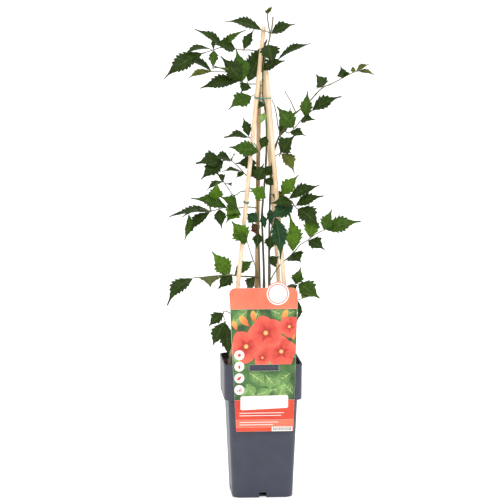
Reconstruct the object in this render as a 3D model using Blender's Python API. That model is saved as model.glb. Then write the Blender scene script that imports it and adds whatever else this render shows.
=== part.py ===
"""Trumpet vine climbing four tied stakes in a square nursery pot, with a hanging care label.

Units are metres, +Z is up and the origin is the middle of the pot's underside.  The pot's sides lie
along X and Y.  The plant was drawn in a front sketch, seen from EYE, and is turned by PLANT_TURN
about the pot's axis.  A sketch point is (across, down, away): squares across and down the sketch,
and millimetres behind the pot's axis.
"""
import math
from collections import namedtuple

import bmesh
import bpy
import numpy as np
from mathutils import Matrix, Vector

MM = 0.001

# Pot: a square moulded shell with a deep collar, a flat floor and four drain notches.
POT_HEIGHT = 204 * MM
POT_BASE_HALF = 45.5 * MM
POT_NECK_HALF = 52 * MM
COLLAR_LOW_HALF = 58 * MM
COLLAR_TOP_HALF = 58.8 * MM
COLLAR_DEPTH = 54 * MM
POT_WALL = 1.8 * MM
POT_FLOOR = 2.5 * MM
CORNER_RADIUS = 12 * MM
CORNER_STEPS = 3
NOTCH_WIDTH, NOTCH_HEIGHT, NOTCH_DEPTH = 11 * MM, 8 * MM, 9 * MM

# Soil: fills the pot up to a little below the rim.
SOIL_TOP = 193 * MM
SOIL_BUMP = 1.6 * MM
SOIL_RINGS = (0.80, 0.52, 0.24)
SEED = 12

# Clearance between pieces that touch, and the length under which an edge is closed up.
GAP = 0.3 * MM
WELD = 0.001 * MM

# Label: a printed plastic card with a round ear, hooked over the front rim by a tongue.
CARD_THICK = 0.7 * MM
CARD_TOP, CARD_BOTTOM = 319 * MM, 104 * MM
CARD_TOP_LEFT, CARD_TOP_RIGHT = -51 * MM, 50.5 * MM
CARD_LOW_LEFT, CARD_LOW_RIGHT = -41 * MM, 44.5 * MM
CARD_CORNER = 9 * MM
EAR_X, EAR_Z, EAR_RADIUS = 21 * MM, 310 * MM, 18 * MM
SLOT_HALF, SLOT_HEIGHT, SLOT_X = 22 * MM, 9 * MM, 0.5 * MM
TONGUE_DROP = 14 * MM

# Sketch: where its squares lie, and the eye that it was drawn from.
SQUARE = 1.5 * MM
SKETCH_MIDDLE = (250.0, 250.0)
EYE = Vector((-15.8 * MM, -3.0, 715.5 * MM))
LOOK_DOWN = math.radians(6.6)
VIEW_DISTANCE = 3.02
PLANT_TURN = math.radians(-4.3)

# Stakes: soil point and top as (x, y, z) in millimetres in the plant's own turn, and the foot.
STAKE_RADIUS = 3.4 * MM
STAKE_SIDES = 12
Stake = namedtuple("Stake", "name foot soil top")
STAKES = (
    Stake("stake_front_left", (-24, -33, 42), (-47, -38, 188), (4.5, -4, 701.5)),
    Stake("stake_front_right", (33, -34, 42), (46, -38, 188), (8.7, -1, 635.5)),
    Stake("stake_back_left", (-7, 33, 42), (-7, 38, 188), (-2.2, 6.1, 621.5)),
    Stake("stake_back_right", (30, 33, 42), (37, 38, 188), (3.8, 13, 649.5)),
)
TIE_RADIUS = 0.8 * MM
TIE_HEIGHT = 597 * MM
RING_HEIGHT = 442 * MM

# Blades: half width along the blade as a share of the greatest, with three forward teeth a side.
BLADE_THICK = 0.7 * MM
STALK_HALF = 0.9 * MM
STALK_END = 0.07
BLADE_SIDE = (
    (0.12, 0.60), (0.28, 1.00), (0.32, 0.82), (0.46, 0.92), (0.51, 0.62), (0.64, 0.58), (0.70, 0.26),
)
BLADE_RIB = (0.34, 0.64)
SMALL_SIDE = ((0.14, 0.62), (0.32, 1.00), (0.37, 0.80), (0.55, 0.78), (0.62, 0.34))
SMALL_WIDTH = 15 * MM
BLADE_FOLD = 0.22
BLADE_PROPORTION = 0.44

# A run is a stem, leaf stalk or rachis: its route in sketch points and its thickness at both ends.
Run = namedtuple("Run", "route start end sides")
# A leaf is one leaflet: root and tip in sketch squares, how far the tip reaches away from the eye
# in millimetres, how far its upper side faces the eye (0 is up, 90 is to the eye), its width in
# millimetres (0 for the usual share of its length), its turn about upright, and its arch.
Leaf = namedtuple("Leaf", "root tip reach face wide turn arch", defaults=(0, 0, 0.08))

TOP_RUNS = (
    Run(((263, 368, 0), (264, 285, 0), (263, 247, 1), (262, 215, 1), (264, 190, 0), (266, 160, 0),
         (266.5, 130, -1), (265, 108, -1), (262.5, 95, -1), (262.6, 80, -3.5), (262.8, 68, -4.6),
         (265, 57, -5), (268, 45, -6), (270, 36, -7), (269, 28, -8), (267.5, 18, -9),
         (268, 12.5, -9)), 2.0, 0.9, 5),
    Run(((262.6, 86, -2.5), (257, 84, -1.6), (250, 84, -1.6), (241, 82, -6), (231, 73.5, -14),
         (225, 72, -18), (212, 71.5, -24)), 1.0, 0.8, 4),
    Run(((265, 57, -5), (262.5, 54, 0.5), (258, 52, 2), (250, 50, 0), (243, 50, -4), (236, 49, -8),
         (222, 47.5, -14), (213, 50, -18), (204, 53, -21)), 1.0, 0.8, 4),
    Run(((262.8, 93, -1.5), (257, 93.5, -1.5), (252, 96, -6)), 0.9, 0.8, 4),
    Run(((267, 50, -5.5), (272, 57, -9), (277, 60, -10)), 0.9, 0.8, 4),
    Run(((269.5, 33, -7.2), (266, 31, -10), (262, 31, -13)), 0.8, 0.8, 4),
    Run(((269.8, 35, -7), (272, 27, -6), (273, 17, -6)), 1.2, 1.1, 5),
)
TOP_LEAVES = (
    Leaf((204, 53), (163.5, 79.5), -12, 52, 27, 0, 0.12),
    Leaf((213, 50), (180, 59.5), -10, 26, 14, 0, 0.2),
    Leaf((214, 49.5), (213, 70), -18, 65, 13),
    Leaf((213.5, 49.5), (213, 38), 16, 80, 6),
    Leaf((224, 47.6), (194, 29), 0, 32, 17),
    Leaf((236, 49), (213, 44), -22, 58, 24),
    Leaf((220, 47.7), (246, 30), 4, 38, 13),
    Leaf((263, 31), (224, 21.5), -10, 48, 19, 0, 0.12),
    Leaf((243.5, 50), (254, 29.5), 5, 50, 14),
    Leaf((212, 71.5), (181, 57), 8, 25, 17),
    Leaf((243, 82.5), (236, 49), -8, 88, 27),
    Leaf((242, 82), (220, 55.5), -20, 68, 24),
    Leaf((230.5, 73.3), (232, 59), 25, 70, 14),
    Leaf((247, 83.5), (267.5, 38.5), 10, 88, 28, 0, 0.02),
    Leaf((212, 71.5), (187, 79), -24, 34, 15),
    Leaf((228, 72.8), (212, 68.5), -35, 12, 19),
    Leaf((240, 81), (199, 88.8), -12, 48, 24),
    Leaf((252, 96), (228, 110), -15, 66, 24, 0, 0.16),
    Leaf((248, 84), (241, 93), -14, 65, 17),
    Leaf((270, 34), (296, 24), -12, 52, 19),
    Leaf((268.5, 44), (272.5, 65), -24, 82, 27),
    Leaf((277, 60), (312, 43), -5, 28, 18),
    Leaf((262.8, 70), (285.5, 60.5), -24, 56, 21),
    Leaf((265.5, 112), (259.5, 126), -16, 80, 10),
    Leaf((264.3, 102), (257.5, 109), -16, 70, 11),
    Leaf((266.3, 136), (260, 151), -14, 75, 14),
    Leaf((265, 176), (273.5, 164), -4, 80, 15),
    Leaf((264.5, 179), (276, 186), -8, 60, 14),
    Leaf((262.3, 214), (265.5, 230), -5, 80, 10),
    Leaf((268, 14), (264.5, 9.5), -2, 60, 4),
    Leaf((268, 13.5), (272.5, 5.5), -3, 60, 5),
    Leaf((268, 13), (269, 6.5), -8, 60, 4),
)
RIGHT_RUNS = (
    Run(((270, 368, 9), (269, 300, 8), (269, 250, 8), (270, 200, 7), (272, 165, 5), (276, 145, 4),
         (280.5, 134, 3), (286, 127, 1), (291, 118, -2), (297, 112, -4), (308, 103, -8),
         (316, 94, -12), (323, 87.5, -15), (330, 84.5, -18), (337, 81, -20), (343, 77.8, -22),
         (352, 73, -25), (358, 71, -27)), 1.8, 0.8, 5),
    Run(((284, 130, 1.5), (289, 133, -8), (295.5, 127, -14), (300, 121.5, -17), (306, 116, -20),
         (311, 111.5, -23)), 0.9, 0.8, 4),
    Run(((296, 113, -4), (291, 102, -6), (285, 91.5, -8)), 0.9, 0.8, 4),
    Run(((273, 158, 4.7), (277, 155, 2), (281, 153, -2)), 0.9, 0.8, 4),
    Run(((280.2, 134, 3), (278, 126, 2), (276.5, 115, 1), (274.5, 106, 1.5), (271.8, 100, 2.5)),
        0.9, 0.8, 4),
    Run(((270.3, 195, 6.8), (277, 194, 2), (284, 196, -6), (288, 199, -10), (292, 201.5, -14),
         (294.5, 206, -17), (297.5, 209, -19)), 1.0, 0.8, 4),
)
RIGHT_LEAVES = (
    Leaf((323, 87.5), (316, 74), -22, 75, 19),
    Leaf((343, 78), (340.5, 66), -14, 75, 15),
    Leaf((344, 77.5), (351, 73.5), -14, 50, 9),
    Leaf((355.5, 72), (370, 64), -10, 40, 11),
    Leaf((358, 71), (375, 75), -8, 35, 10),
    Leaf((353, 72.8), (353, 65.5), -6, 60, 7),
    Leaf((305, 117), (307.8, 90.5), -15, 88, 17),
    Leaf((311, 111.5), (342, 96.5), -10, 46, 22),
    Leaf((300.5, 121), (315, 119.5), -20, 55, 16),
    Leaf((290, 132.5), (306, 136), -20, 48, 15),
    Leaf((294, 128.5), (276.5, 106), -14, 80, 25),
    Leaf((278.8, 138), (291, 107.5), 15, 85, 15),
    Leaf((281, 153), (295, 135), -22, 66, 25),
    Leaf((280.5, 153), (294.5, 174), -12, 40, 19, 0, 0.26),
    Leaf((280, 135), (279, 158), 6, 88, 14, 60),
    Leaf((281, 195), (299, 174.5), -10, 75, 20),
    Leaf((288, 199), (320.5, 184.8), -10, 48, 21),
    Leaf((294.8, 206.3), (324.5, 195.8), -14, 46, 20),
    Leaf((272, 194.6), (289, 200.5), -10, 68, 16),
    Leaf((270.2, 208), (272, 228), -9, 80, 12),
    Leaf((294, 205.5), (267.5, 219), -22, 66, 24),
    Leaf((293, 203.5), (270, 203.5), -26, 62, 17),
    Leaf((297, 208.7), (320, 228), -20, 58, 28, 0, 0.18),
)
LEFT_RUNS = (
    Run(((259, 368, -10), (260, 300, -9), (259, 250, -8.5), (258, 215, -8), (257, 190, -7),
         (257, 170, -5), (258, 152, -3.5), (254, 143, -4), (249, 137, -8)), 1.8, 0.8, 5),
    Run(((257, 177, -6), (250, 176, -6), (246, 175, -8), (240, 168.5, -14), (231, 160.5, -20),
         (223, 160.5, -24)), 1.0, 0.8, 4),
    Run(((257, 193, -7), (250, 191, -8), (245, 191, -11), (240, 192, -18), (237, 194.5, -20),
         (233, 195, -22), (228, 188, -24), (223.5, 181.5, -26)), 1.0, 0.8, 4),
    Run(((257.5, 208, -8), (249, 207, -10), (244, 207.5, -12), (238, 208, -20), (228, 208, -24),
         (222, 208, -26), (211, 211, -30), (200, 209, -33), (189, 213, -36)), 1.1, 0.8, 4),
    Run(((222, 208, -26), (218.5, 204, -27), (216, 199, -28)), 0.9, 0.8, 4),
    Run(((257.6, 156, -3.8), (260, 154, -14), (259, 152, -23)), 0.9, 0.8, 4),
    Run(((257.6, 201, -7.6), (262, 200, -11), (266, 197, -15)), 0.9, 0.8, 4),
    Run(((211, 211, -30), (209, 205, -32), (205.5, 200.5, -33)), 1.4, 1.3, 5),
)
LEFT_LEAVES = (
    Leaf((249, 137), (243, 117.5), 8, 55, 13, 0, 0.16),
    Leaf((249.2, 137.2), (223.5, 137.5), -22, 36, 17),
    Leaf((259, 152), (228, 147), -12, 70, 23),
    Leaf((232, 161), (236.5, 153), -18, 45, 9),
    Leaf((231, 160.5), (213, 157), -24, 48, 20),
    Leaf((223, 160.5), (195.5, 163.5), -8, 52, 25),
    Leaf((224, 160.8), (200.5, 180), -18, 54, 24),
    Leaf((257.2, 163), (235.5, 163.5), -2, 70, 18),
    Leaf((244, 172.8), (221.5, 171.5), -22, 20, 15),
    Leaf((243.5, 173), (236, 178), -10, 35, 10),
    Leaf((223.5, 181.8), (217, 173.5), -16, 60, 12),
    Leaf((224.5, 182), (206, 191), -15, 28, 12, 0, 0.16),
    Leaf((226, 184), (232, 186), -20, 16, 11),
    Leaf((216, 199.5), (217, 181), -22, 78, 19),
    Leaf((228, 208), (190.5, 198), -10, 46, 22),
    Leaf((238, 208), (219.5, 196), -22, 58, 20),
    Leaf((236, 208), (226, 216), -30, 64, 20),
    Leaf((238, 208.1), (226, 223), -24, 72, 22),
    Leaf((219, 208.6), (221.8, 229), -18, 80, 17),
    Leaf((211, 211), (168.5, 217.5), -5, 24, 20),
    Leaf((200, 209), (182, 217), -20, 20, 15),
    Leaf((189, 213), (184.3, 241), -5, 85, 17, 50),
    Leaf((211, 211.2), (186, 235), -8, 30, 19),
    Leaf((258, 222), (246, 213), 8, 80, 17),
    Leaf((258.6, 235), (251.5, 221.5), 8, 75, 13),
    Leaf((259, 233), (256.5, 249), -15, 72, 15),
    Leaf((266, 197), (249, 187.5), -14, 78, 20),
    Leaf((257, 181), (264, 163), -12, 80, 18),
    Leaf((257, 180), (250.5, 162), 10, 84, 17),
)
LOW_RUNS = (
    Run(((258, 368, 10), (258, 330, 9), (260, 290, 6), (259, 280, 3), (255, 277, -2),
         (246, 276.5, -12), (238, 276, -18), (231, 275, -24), (220, 275.5, -32),
         (209, 276.5, -38), (200, 277.5, -42), (194, 277.5, -45)), 1.7, 0.8, 5),
    Run(((259.8, 286, 5), (256.5, 270, -4), (252, 257, -18), (247, 241, -31)), 1.0, 0.8, 4),
    Run(((258, 331, 9), (244, 321, -2), (233, 315, -14), (225.5, 311, -27), (223, 314, -37),
         (225.5, 322, -42.5)), 1.0, 0.8, 4),
)
LOW_LEAVES = (
    Leaf((247, 241), (231.5, 221), -8, 85, 26),
    Leaf((247.2, 242), (234, 235.5), -20, 66, 16),
    Leaf((230.5, 275), (211.5, 251), -10, 85, 25),
    Leaf((234, 275.5), (254, 260), 19, 55, 17),
    Leaf((194, 277.5), (167, 306), -10, 36, 24, 0, 0.18),
    Leaf((209.5, 276.5), (210.5, 287), -36, 36, 28, 0, 0.05),
    Leaf((232.5, 275.4), (218, 289), -14, 58, 21),
    Leaf((255, 277), (247, 289), 18, 64, 16),
    Leaf((223.6, 312.5), (208.5, 326.5), -6, 48, 19),
    Leaf((225, 321), (212.5, 346.5), 6, 62, 21),
    Leaf((225.6, 321.6), (229, 359), -1, 82, 20, 0, 0.03),
)
SIDE_RUNS = (
    Run(((275, 368, -9), (272, 330, -8), (270, 290, -8), (270, 270, -8), (269.5, 250, -8),
         (271, 232, -9), (273, 221, -14), (275, 215, -30)), 1.8, 0.8, 5),
    Run(((270, 281, -8), (275, 272, -9), (281, 264, -14), (290, 256, -18), (296, 250, -22),
         (300, 245, -26), (308, 240, -30), (316, 234, -34), (324, 230, -38)), 1.1, 0.8, 4),
    Run(((270.5, 300, -8), (282, 290, -8), (290, 285, -14), (298, 283.5, -20)), 1.0, 0.8, 4),
    Run(((271, 311, -8), (284, 304, -10), (294, 301, -16), (301, 299, -20)), 1.0, 0.8, 4),
)
SIDE_LEAVES = (
    Leaf((310, 238.5), (313, 213), 10, 95, 22),
    Leaf((324, 230), (332, 209), -14, 66, 18),
    Leaf((324, 230), (361.5, 221.5), -10, 60, 24),
    Leaf((308, 240), (325, 250), -18, 52, 21),
    Leaf((293.5, 252.5), (301, 262.5), -24, 58, 20),
    Leaf((287, 258.8), (299.5, 261.5), -24, 42, 17),
    Leaf((293, 253), (289.5, 213), -8, 88, 24, 25),
    Leaf((295.5, 284.2), (301, 267), -16, 75, 17),
    Leaf((297.5, 283.5), (320, 298.5), -12, 64, 27),
    Leaf((301, 299), (316.5, 296.5), -26, -25, 16),
    Leaf((291, 285), (293.5, 294), -22, 58, 15),
    Leaf((297.5, 300.2), (297, 322), -10, 88, 13, 50),
    Leaf((275, 215.3), (280, 260), -6, 80, 25, 25),
    Leaf((270.3, 236), (269.5, 252), -15, 75, 17),
    Leaf((270, 264), (279.5, 256), -13, 75, 17),
)
Plant = namedtuple("Plant", "name runs leaves")
PLANTS = (
    Plant("leafy_stem_top", TOP_RUNS, TOP_LEAVES),
    Plant("leafy_stem_right", RIGHT_RUNS, RIGHT_LEAVES),
    Plant("leafy_stem_left", LEFT_RUNS, LEFT_LEAVES),
    Plant("leafy_stem_low", LOW_RUNS, LOW_LEAVES),
    Plant("leafy_stem_side", SIDE_RUNS, SIDE_LEAVES),
)
STEM_FOOT = 150 * MM


def clear_scene():
    """Remove every object that the file starts with."""
    for thing in list(bpy.data.objects):
        bpy.data.objects.remove(thing, do_unlink=True)


def finish(name, hex_colour, rough, metal=0.0):
    """A Principled material of one colour."""
    material = bpy.data.materials.new(name)
    material.use_nodes = True
    shader = material.node_tree.nodes["Principled BSDF"]
    channels = [int(hex_colour[i:i + 2], 16) / 255 for i in (0, 2, 4)]
    linear = [c / 12.92 if c <= 0.04045 else ((c + 0.055) / 1.055) ** 2.4 for c in channels]
    shader.inputs["Base Color"].default_value = (*linear, 1)
    shader.inputs["Roughness"].default_value = rough
    shader.inputs["Metallic"].default_value = metal
    return material


def add_object(name, points, faces, material=None):
    """A mesh object with its faces turned outwards."""
    mesh = bpy.data.meshes.new(name)
    shape = bmesh.new()
    corners = [shape.verts.new(point) for point in points]
    for face in faces:
        shape.faces.new([corners[i] for i in face])
    bmesh.ops.recalc_face_normals(shape, faces=shape.faces)
    shape.to_mesh(mesh)
    shape.free()
    thing = bpy.data.objects.new(name, mesh)
    bpy.context.scene.collection.objects.link(thing)
    if material:
        mesh.materials.append(material)
    return thing


def turned(point):
    """A point of the plant, in metres, turned about the pot's axis."""
    return Matrix.Rotation(PLANT_TURN, 3, "Z") @ Vector(point)


def place(across, down, away):
    """The point that a sketch point shows, as the eye sees it."""
    step = SQUARE / VIEW_DISTANCE
    side, rise = (across - SKETCH_MIDDLE[0]) * step, (SKETCH_MIDDLE[1] - down) * step
    sine, cosine = math.sin(LOOK_DOWN), math.cos(LOOK_DOWN)
    ray = Vector((side, cosine + rise * sine, -sine + rise * cosine))
    reach = (away * MM - EYE.y) / ray.y
    return EYE + ray * reach


def apply_boolean(target, operand, operation, many=False):
    """Join or cut the target with one object, or with a collection, and apply it."""
    step = target.modifiers.new(operation.title(), "BOOLEAN")
    step.operation = operation
    step.solver = "EXACT"
    if many:
        step.operand_type = "COLLECTION"
        step.collection = operand
        step.use_self = True
    else:
        step.object = operand
    graph = bpy.context.evaluated_depsgraph_get()
    made = bpy.data.meshes.new_from_object(target.evaluated_get(graph), depsgraph=graph)
    target.modifiers.remove(step)
    old, target.data = target.data, made
    bpy.data.meshes.remove(old)


def drop(things):
    """Remove cutters and joined pieces."""
    for thing in list(things):
        bpy.data.objects.remove(thing, do_unlink=True)


def keep_largest(thing):
    """Keep one joined body: loose scraps are dropped, and sealed hollows are filled."""
    shape = bmesh.new()
    shape.from_mesh(thing.data)
    bmesh.ops.triangulate(shape, faces=shape.faces)
    unseen, groups = set(shape.faces), []
    while unseen:
        front, group = [unseen.pop()], []
        while front:
            face = front.pop()
            group.append(face)
            for edge in face.edges:
                for other in edge.link_faces:
                    if other in unseen:
                        unseen.remove(other)
                        front.append(other)
        groups.append(group)
    groups.sort(key=len)
    scraps = [face for group in groups[:-1] for face in group]
    bmesh.ops.delete(shape, geom=scraps, context="FACES")
    bmesh.ops.dissolve_degenerate(shape, dist=WELD, edges=shape.edges)
    bmesh.ops.triangulate(shape, faces=shape.faces)
    shape.to_mesh(thing.data)
    shape.free()


def tube(name, points, radii, sides, material=None, closed=False):
    """A round rod along points, with flat ends, or a closed ring."""
    count = len(points)
    corners, faces = [], []
    normal = None
    for i, point in enumerate(points):
        after = points[(i + 1) % count] if closed or i < count - 1 else point
        before = points[i - 1] if closed or i else point
        along = (after - before).normalized()
        if normal is None:
            normal = along.orthogonal()
        normal = (normal - along * normal.dot(along)).normalized()
        across = along.cross(normal)
        for k in range(sides):
            angle = 2 * math.pi * k / sides
            corners.append(point + (normal * math.cos(angle) + across * math.sin(angle)) * radii[i])
    for i in range(count if closed else count - 1):
        for k in range(sides):
            low, high = i * sides, ((i + 1) % count) * sides
            faces.append((low + k, low + (k + 1) % sides, high + (k + 1) % sides, high + k))
    if not closed:
        faces.append(tuple(range(sides))[::-1])
        faces.append(tuple(range((count - 1) * sides, count * sides)))
    return add_object(name, corners, faces, material)


def square_ring(half, z, radius=CORNER_RADIUS):
    """Corners of a square with round corners at height z."""
    ring = []
    for quarter in range(4):
        for k in range(CORNER_STEPS + 1):
            angle = math.pi / 2 * (quarter + k / CORNER_STEPS)
            centre_x = (half - radius) * (1 if quarter in (0, 3) else -1)
            centre_y = (half - radius) * (1 if quarter in (0, 1) else -1)
            ring.append(Vector((centre_x + radius * math.cos(angle),
                                centre_y + radius * math.sin(angle), z)))
    return ring


def loft(name, rings, material=None):
    """A solid through rings of the same number of corners, with both ends filled."""
    count = len(rings[0])
    corners = [corner for ring in rings for corner in ring]
    faces = [tuple(range(count))]
    for i in range(len(rings) - 1):
        for k in range(count):
            low, high = i * count, (i + 1) * count
            faces.append((low + k, low + (k + 1) % count, high + (k + 1) % count, high + k))
    faces.append(tuple(range((len(rings) - 1) * count, len(rings) * count)))
    return add_object(name, corners, faces, material)


def box(name, low, high):
    """A plain block between two corners."""
    corners = [(x, y, z) for x in (low[0], high[0]) for y in (low[1], high[1])
               for z in (low[2], high[2])]
    faces = ((0, 1, 3, 2), (4, 6, 7, 5), (0, 4, 5, 1), (2, 3, 7, 6), (0, 2, 6, 4), (1, 5, 7, 3))
    return add_object(name, corners, faces)


def inner_half(z):
    """Half the pot's inside width at height z."""
    under = POT_HEIGHT - COLLAR_DEPTH
    if z < under + POT_WALL:
        return POT_BASE_HALF + (POT_NECK_HALF - POT_BASE_HALF) * z / under - POT_WALL
    share = (z - under) / COLLAR_DEPTH
    return COLLAR_LOW_HALF + (COLLAR_TOP_HALF - COLLAR_LOW_HALF) * share - POT_WALL


def make_pot():
    """The moulded pot: body, deep collar, floor and a drain notch under each side."""
    under = POT_HEIGHT - COLLAR_DEPTH
    inner_radius = CORNER_RADIUS - POT_WALL
    rings = [
        square_ring(POT_BASE_HALF - 1.5 * MM, 0),
        square_ring(POT_BASE_HALF, 1.5 * MM),
        square_ring(POT_NECK_HALF, under - 1.2 * MM),
        square_ring(COLLAR_LOW_HALF - 0.6 * MM, under),
        square_ring(COLLAR_LOW_HALF, under + 1 * MM),
        square_ring(COLLAR_TOP_HALF, POT_HEIGHT - 0.6 * MM),
        square_ring(COLLAR_TOP_HALF - 0.5 * MM, POT_HEIGHT),
        square_ring(COLLAR_TOP_HALF - POT_WALL, POT_HEIGHT, inner_radius),
        square_ring(inner_half(under + POT_WALL + 0.1 * MM), under + POT_WALL, inner_radius),
        square_ring(inner_half(under), under + 0.6 * MM, inner_radius),
        square_ring(inner_half(POT_FLOOR), POT_FLOOR, inner_radius),
    ]
    pot = loft("pot", rings, finish("moulded polypropylene", "4e5262", 0.45))
    for quarter in range(4):
        cutter = box("notch_cutter", (-NOTCH_WIDTH / 2, POT_BASE_HALF - NOTCH_DEPTH, -1 * MM),
                     (NOTCH_WIDTH / 2, POT_BASE_HALF + 4 * MM, NOTCH_HEIGHT))
        cutter.matrix_world = Matrix.Rotation(math.pi / 2 * quarter, 4, "Z")
        bpy.context.view_layer.update()
        apply_boolean(pot, cutter, "DIFFERENCE")
        drop([cutter])


def make_soil(stake_tubes, stem_feet):
    """Soil up to a little below the rim, with a plain hole for each stake and stem."""
    under = POT_HEIGHT - COLLAR_DEPTH
    radius = CORNER_RADIUS - POT_WALL - GAP
    floor = POT_FLOOR + NOTCH_HEIGHT
    top = inner_half(SOIL_TOP) - GAP
    rings = [
        square_ring(inner_half(floor) - GAP, floor, radius),
        square_ring(inner_half(under) - GAP, under + 0.6 * MM, radius),
        square_ring(inner_half(under + POT_WALL + 0.1 * MM) - GAP, under + POT_WALL + GAP, radius),
        square_ring(top, SOIL_TOP, radius),
    ]
    rng = np.random.default_rng(SEED)
    for share in SOIL_RINGS:
        ring = square_ring(top * share, SOIL_TOP, radius * share)
        rings.append([p + Vector((0, 0, rng.uniform(-1, 1) * SOIL_BUMP)) for p in ring])
    soil = loft("soil", rings, finish("potting soil", "2c211c", 0.95))
    for name, points in stake_tubes:
        radii = [STAKE_RADIUS + GAP] * len(points)
        high = points[-1] + (points[-1] - points[-2]) * 0.05
        cutter = tube(name + "_cutter", [points[0] - Vector((0, 0, GAP))] + points[1:-1] + [high],
                      radii, STAKE_SIDES)
        apply_boolean(soil, cutter, "DIFFERENCE")
        drop([cutter])
    for foot, thick in stem_feet:
        low, high = foot - Vector((0, 0, GAP)), Vector((foot.x, foot.y, SOIL_TOP + 20 * MM))
        cutter = tube("stem_cutter", [low, high], [thick + GAP] * 2, 8)
        apply_boolean(soil, cutter, "DIFFERENCE")
        drop([cutter])
    keep_largest(soil)


def stake_line(stake):
    """The stake's middle line, from its foot in the soil to its top."""
    foot, soil, top = (turned(Vector(p) * MM) for p in (stake.foot, stake.soil, stake.top))
    below = soil + (foot - soil) * 0.34
    above = soil + (top - soil) * 0.04
    return [foot, below, soil, above, soil + (top - soil) * 0.5, top]


def stake_centre(stake, height):
    """Where the stake's middle line passes a height above the soil."""
    soil, top = (Vector(p) * MM for p in (stake.soil, stake.top))
    return turned(soil + (top - soil) * (height - soil.z) / (top.z - soil.z))


def make_stakes():
    """Four slim stakes that lean together, and the routes that the soil's holes follow."""
    wood = finish("split bamboo", "e3c79c", 0.6)
    lines = []
    for stake in STAKES:
        line = stake_line(stake)
        tube(stake.name, line, [STAKE_RADIUS] * len(line), STAKE_SIDES, wood)
        lines.append((stake.name, line))
    return lines


def make_ties():
    """A wire loop round the stakes near the top, and a small ring on the front left stake."""
    wire = finish("coated wire", "2f7d70", 0.4)
    centres = [stake_centre(stake, TIE_HEIGHT) for stake in STAKES]
    stand_off = STAKE_RADIUS + TIE_RADIUS + 2 * GAP
    loop = []
    for k in range(20):
        out = Vector((math.cos(2 * math.pi * k / 20), math.sin(2 * math.pi * k / 20), 0))
        centre = max(centres, key=lambda c: c.dot(out))
        loop.append(Vector((centre.x, centre.y, TIE_HEIGHT)) + out * stand_off)
    ring = tube("tie_upper", loop, [TIE_RADIUS] * len(loop), 5, wire, closed=True)
    start = min(loop, key=lambda p: p.y - 0.4 * p.x)
    tail = [start, start + Vector((5, -4, 1)) * MM, start + Vector((10, -5, -2)) * MM,
            start + Vector((11, -5, -9)) * MM]
    end = tube("tie_end", tail, [TIE_RADIUS] * 4, 5)
    apply_boolean(ring, end, "UNION")
    drop([end])
    keep_largest(ring)
    stake = STAKES[0]
    centre = stake_centre(stake, RING_HEIGHT)
    lean = (turned(stake.top) - turned(stake.soil)).normalized()
    side = lean.orthogonal().normalized()
    small = [centre + Matrix.Rotation(2 * math.pi * k / 12, 3, lean) @ side * stand_off
             for k in range(12)]
    tube("tie_lower", small, [TIE_RADIUS] * 12, 5, wire, closed=True)


def card_outline():
    """The label's outline from its lower left corner, clockwise seen from the front."""
    outline = [Vector((CARD_LOW_LEFT, CARD_BOTTOM))]
    corner = Vector((CARD_TOP_LEFT + CARD_CORNER, CARD_TOP - CARD_CORNER))
    for k in range(5):
        angle = math.pi - math.pi / 2 * k / 4
        outline.append(corner + Vector((math.cos(angle), math.sin(angle))) * CARD_CORNER)
    rise = math.asin((CARD_TOP - EAR_Z) / EAR_RADIUS)
    for k in range(11):
        angle = math.pi - rise - (math.pi - 2 * rise) * k / 10
        outline.append(Vector((EAR_X, EAR_Z)) + Vector((math.cos(angle), math.sin(angle)))
                       * EAR_RADIUS)
    corner = Vector((CARD_TOP_RIGHT - CARD_CORNER, CARD_TOP - CARD_CORNER))
    for k in range(5):
        angle = math.pi / 2 * (1 - k / 4)
        outline.append(corner + Vector((math.cos(angle), math.sin(angle))) * CARD_CORNER)
    outline.append(Vector((CARD_LOW_RIGHT, CARD_BOTTOM)))
    return outline


def make_label():
    """The care label: a flat card in front of the collar, with a tongue over the rim."""
    back = -COLLAR_TOP_HALF - GAP
    front = back - CARD_THICK
    outline = card_outline()
    count = len(outline)
    points = [(p.x, front, p.y) for p in outline] + [(p.x, back, p.y) for p in outline]
    faces = [tuple(range(count)), tuple(range(2 * count - 1, count - 1, -1))]
    faces += [(k, (k + 1) % count, count + (k + 1) % count, count + k) for k in range(count)]
    label = add_object("label", points, faces, finish("printed card", "d2583e", 0.4))
    seat = POT_HEIGHT + GAP
    slot = box("slot_cutter", (SLOT_X - SLOT_HALF, front - 1 * MM, seat - SLOT_HEIGHT),
               (SLOT_X + SLOT_HALF, back + 1 * MM, seat))
    apply_boolean(label, slot, "DIFFERENCE")
    inside = -COLLAR_TOP_HALF + POT_WALL + GAP
    bridge = box("tongue_bridge", (SLOT_X - SLOT_HALF, front + 0.2 * MM, seat),
                 (SLOT_X + SLOT_HALF, inside + CARD_THICK, seat + CARD_THICK))
    flap = box("tongue_flap", (SLOT_X - SLOT_HALF + 0.2 * MM, inside, seat - TONGUE_DROP + 4 * MM),
               (SLOT_X + SLOT_HALF - 0.2 * MM, inside + CARD_THICK, seat + CARD_THICK / 2))
    apply_boolean(label, bridge, "UNION")
    apply_boolean(label, flap, "UNION")
    drop([slot, bridge, flap])
    keep_largest(label)


def nearest_on(runs, root):
    """The point of the plant's runs that lies nearest to a leaf's root in the sketch."""
    best, found = None, None
    for run in runs:
        for a, b in zip(run.route, run.route[1:]):
            start, way = Vector(a[:2]), Vector(b[:2]) - Vector(a[:2])
            share = 0.0
            if way.length > 0:
                share = min(1.0, max(0.0, (Vector(root) - start).dot(way) / way.length_squared))
            miss = (start + way * share - Vector(root)).length
            if best is None or miss < best:
                point = Vector(a) + (Vector(b) - Vector(a)) * share
                best, found = miss, point
    return found


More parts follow.
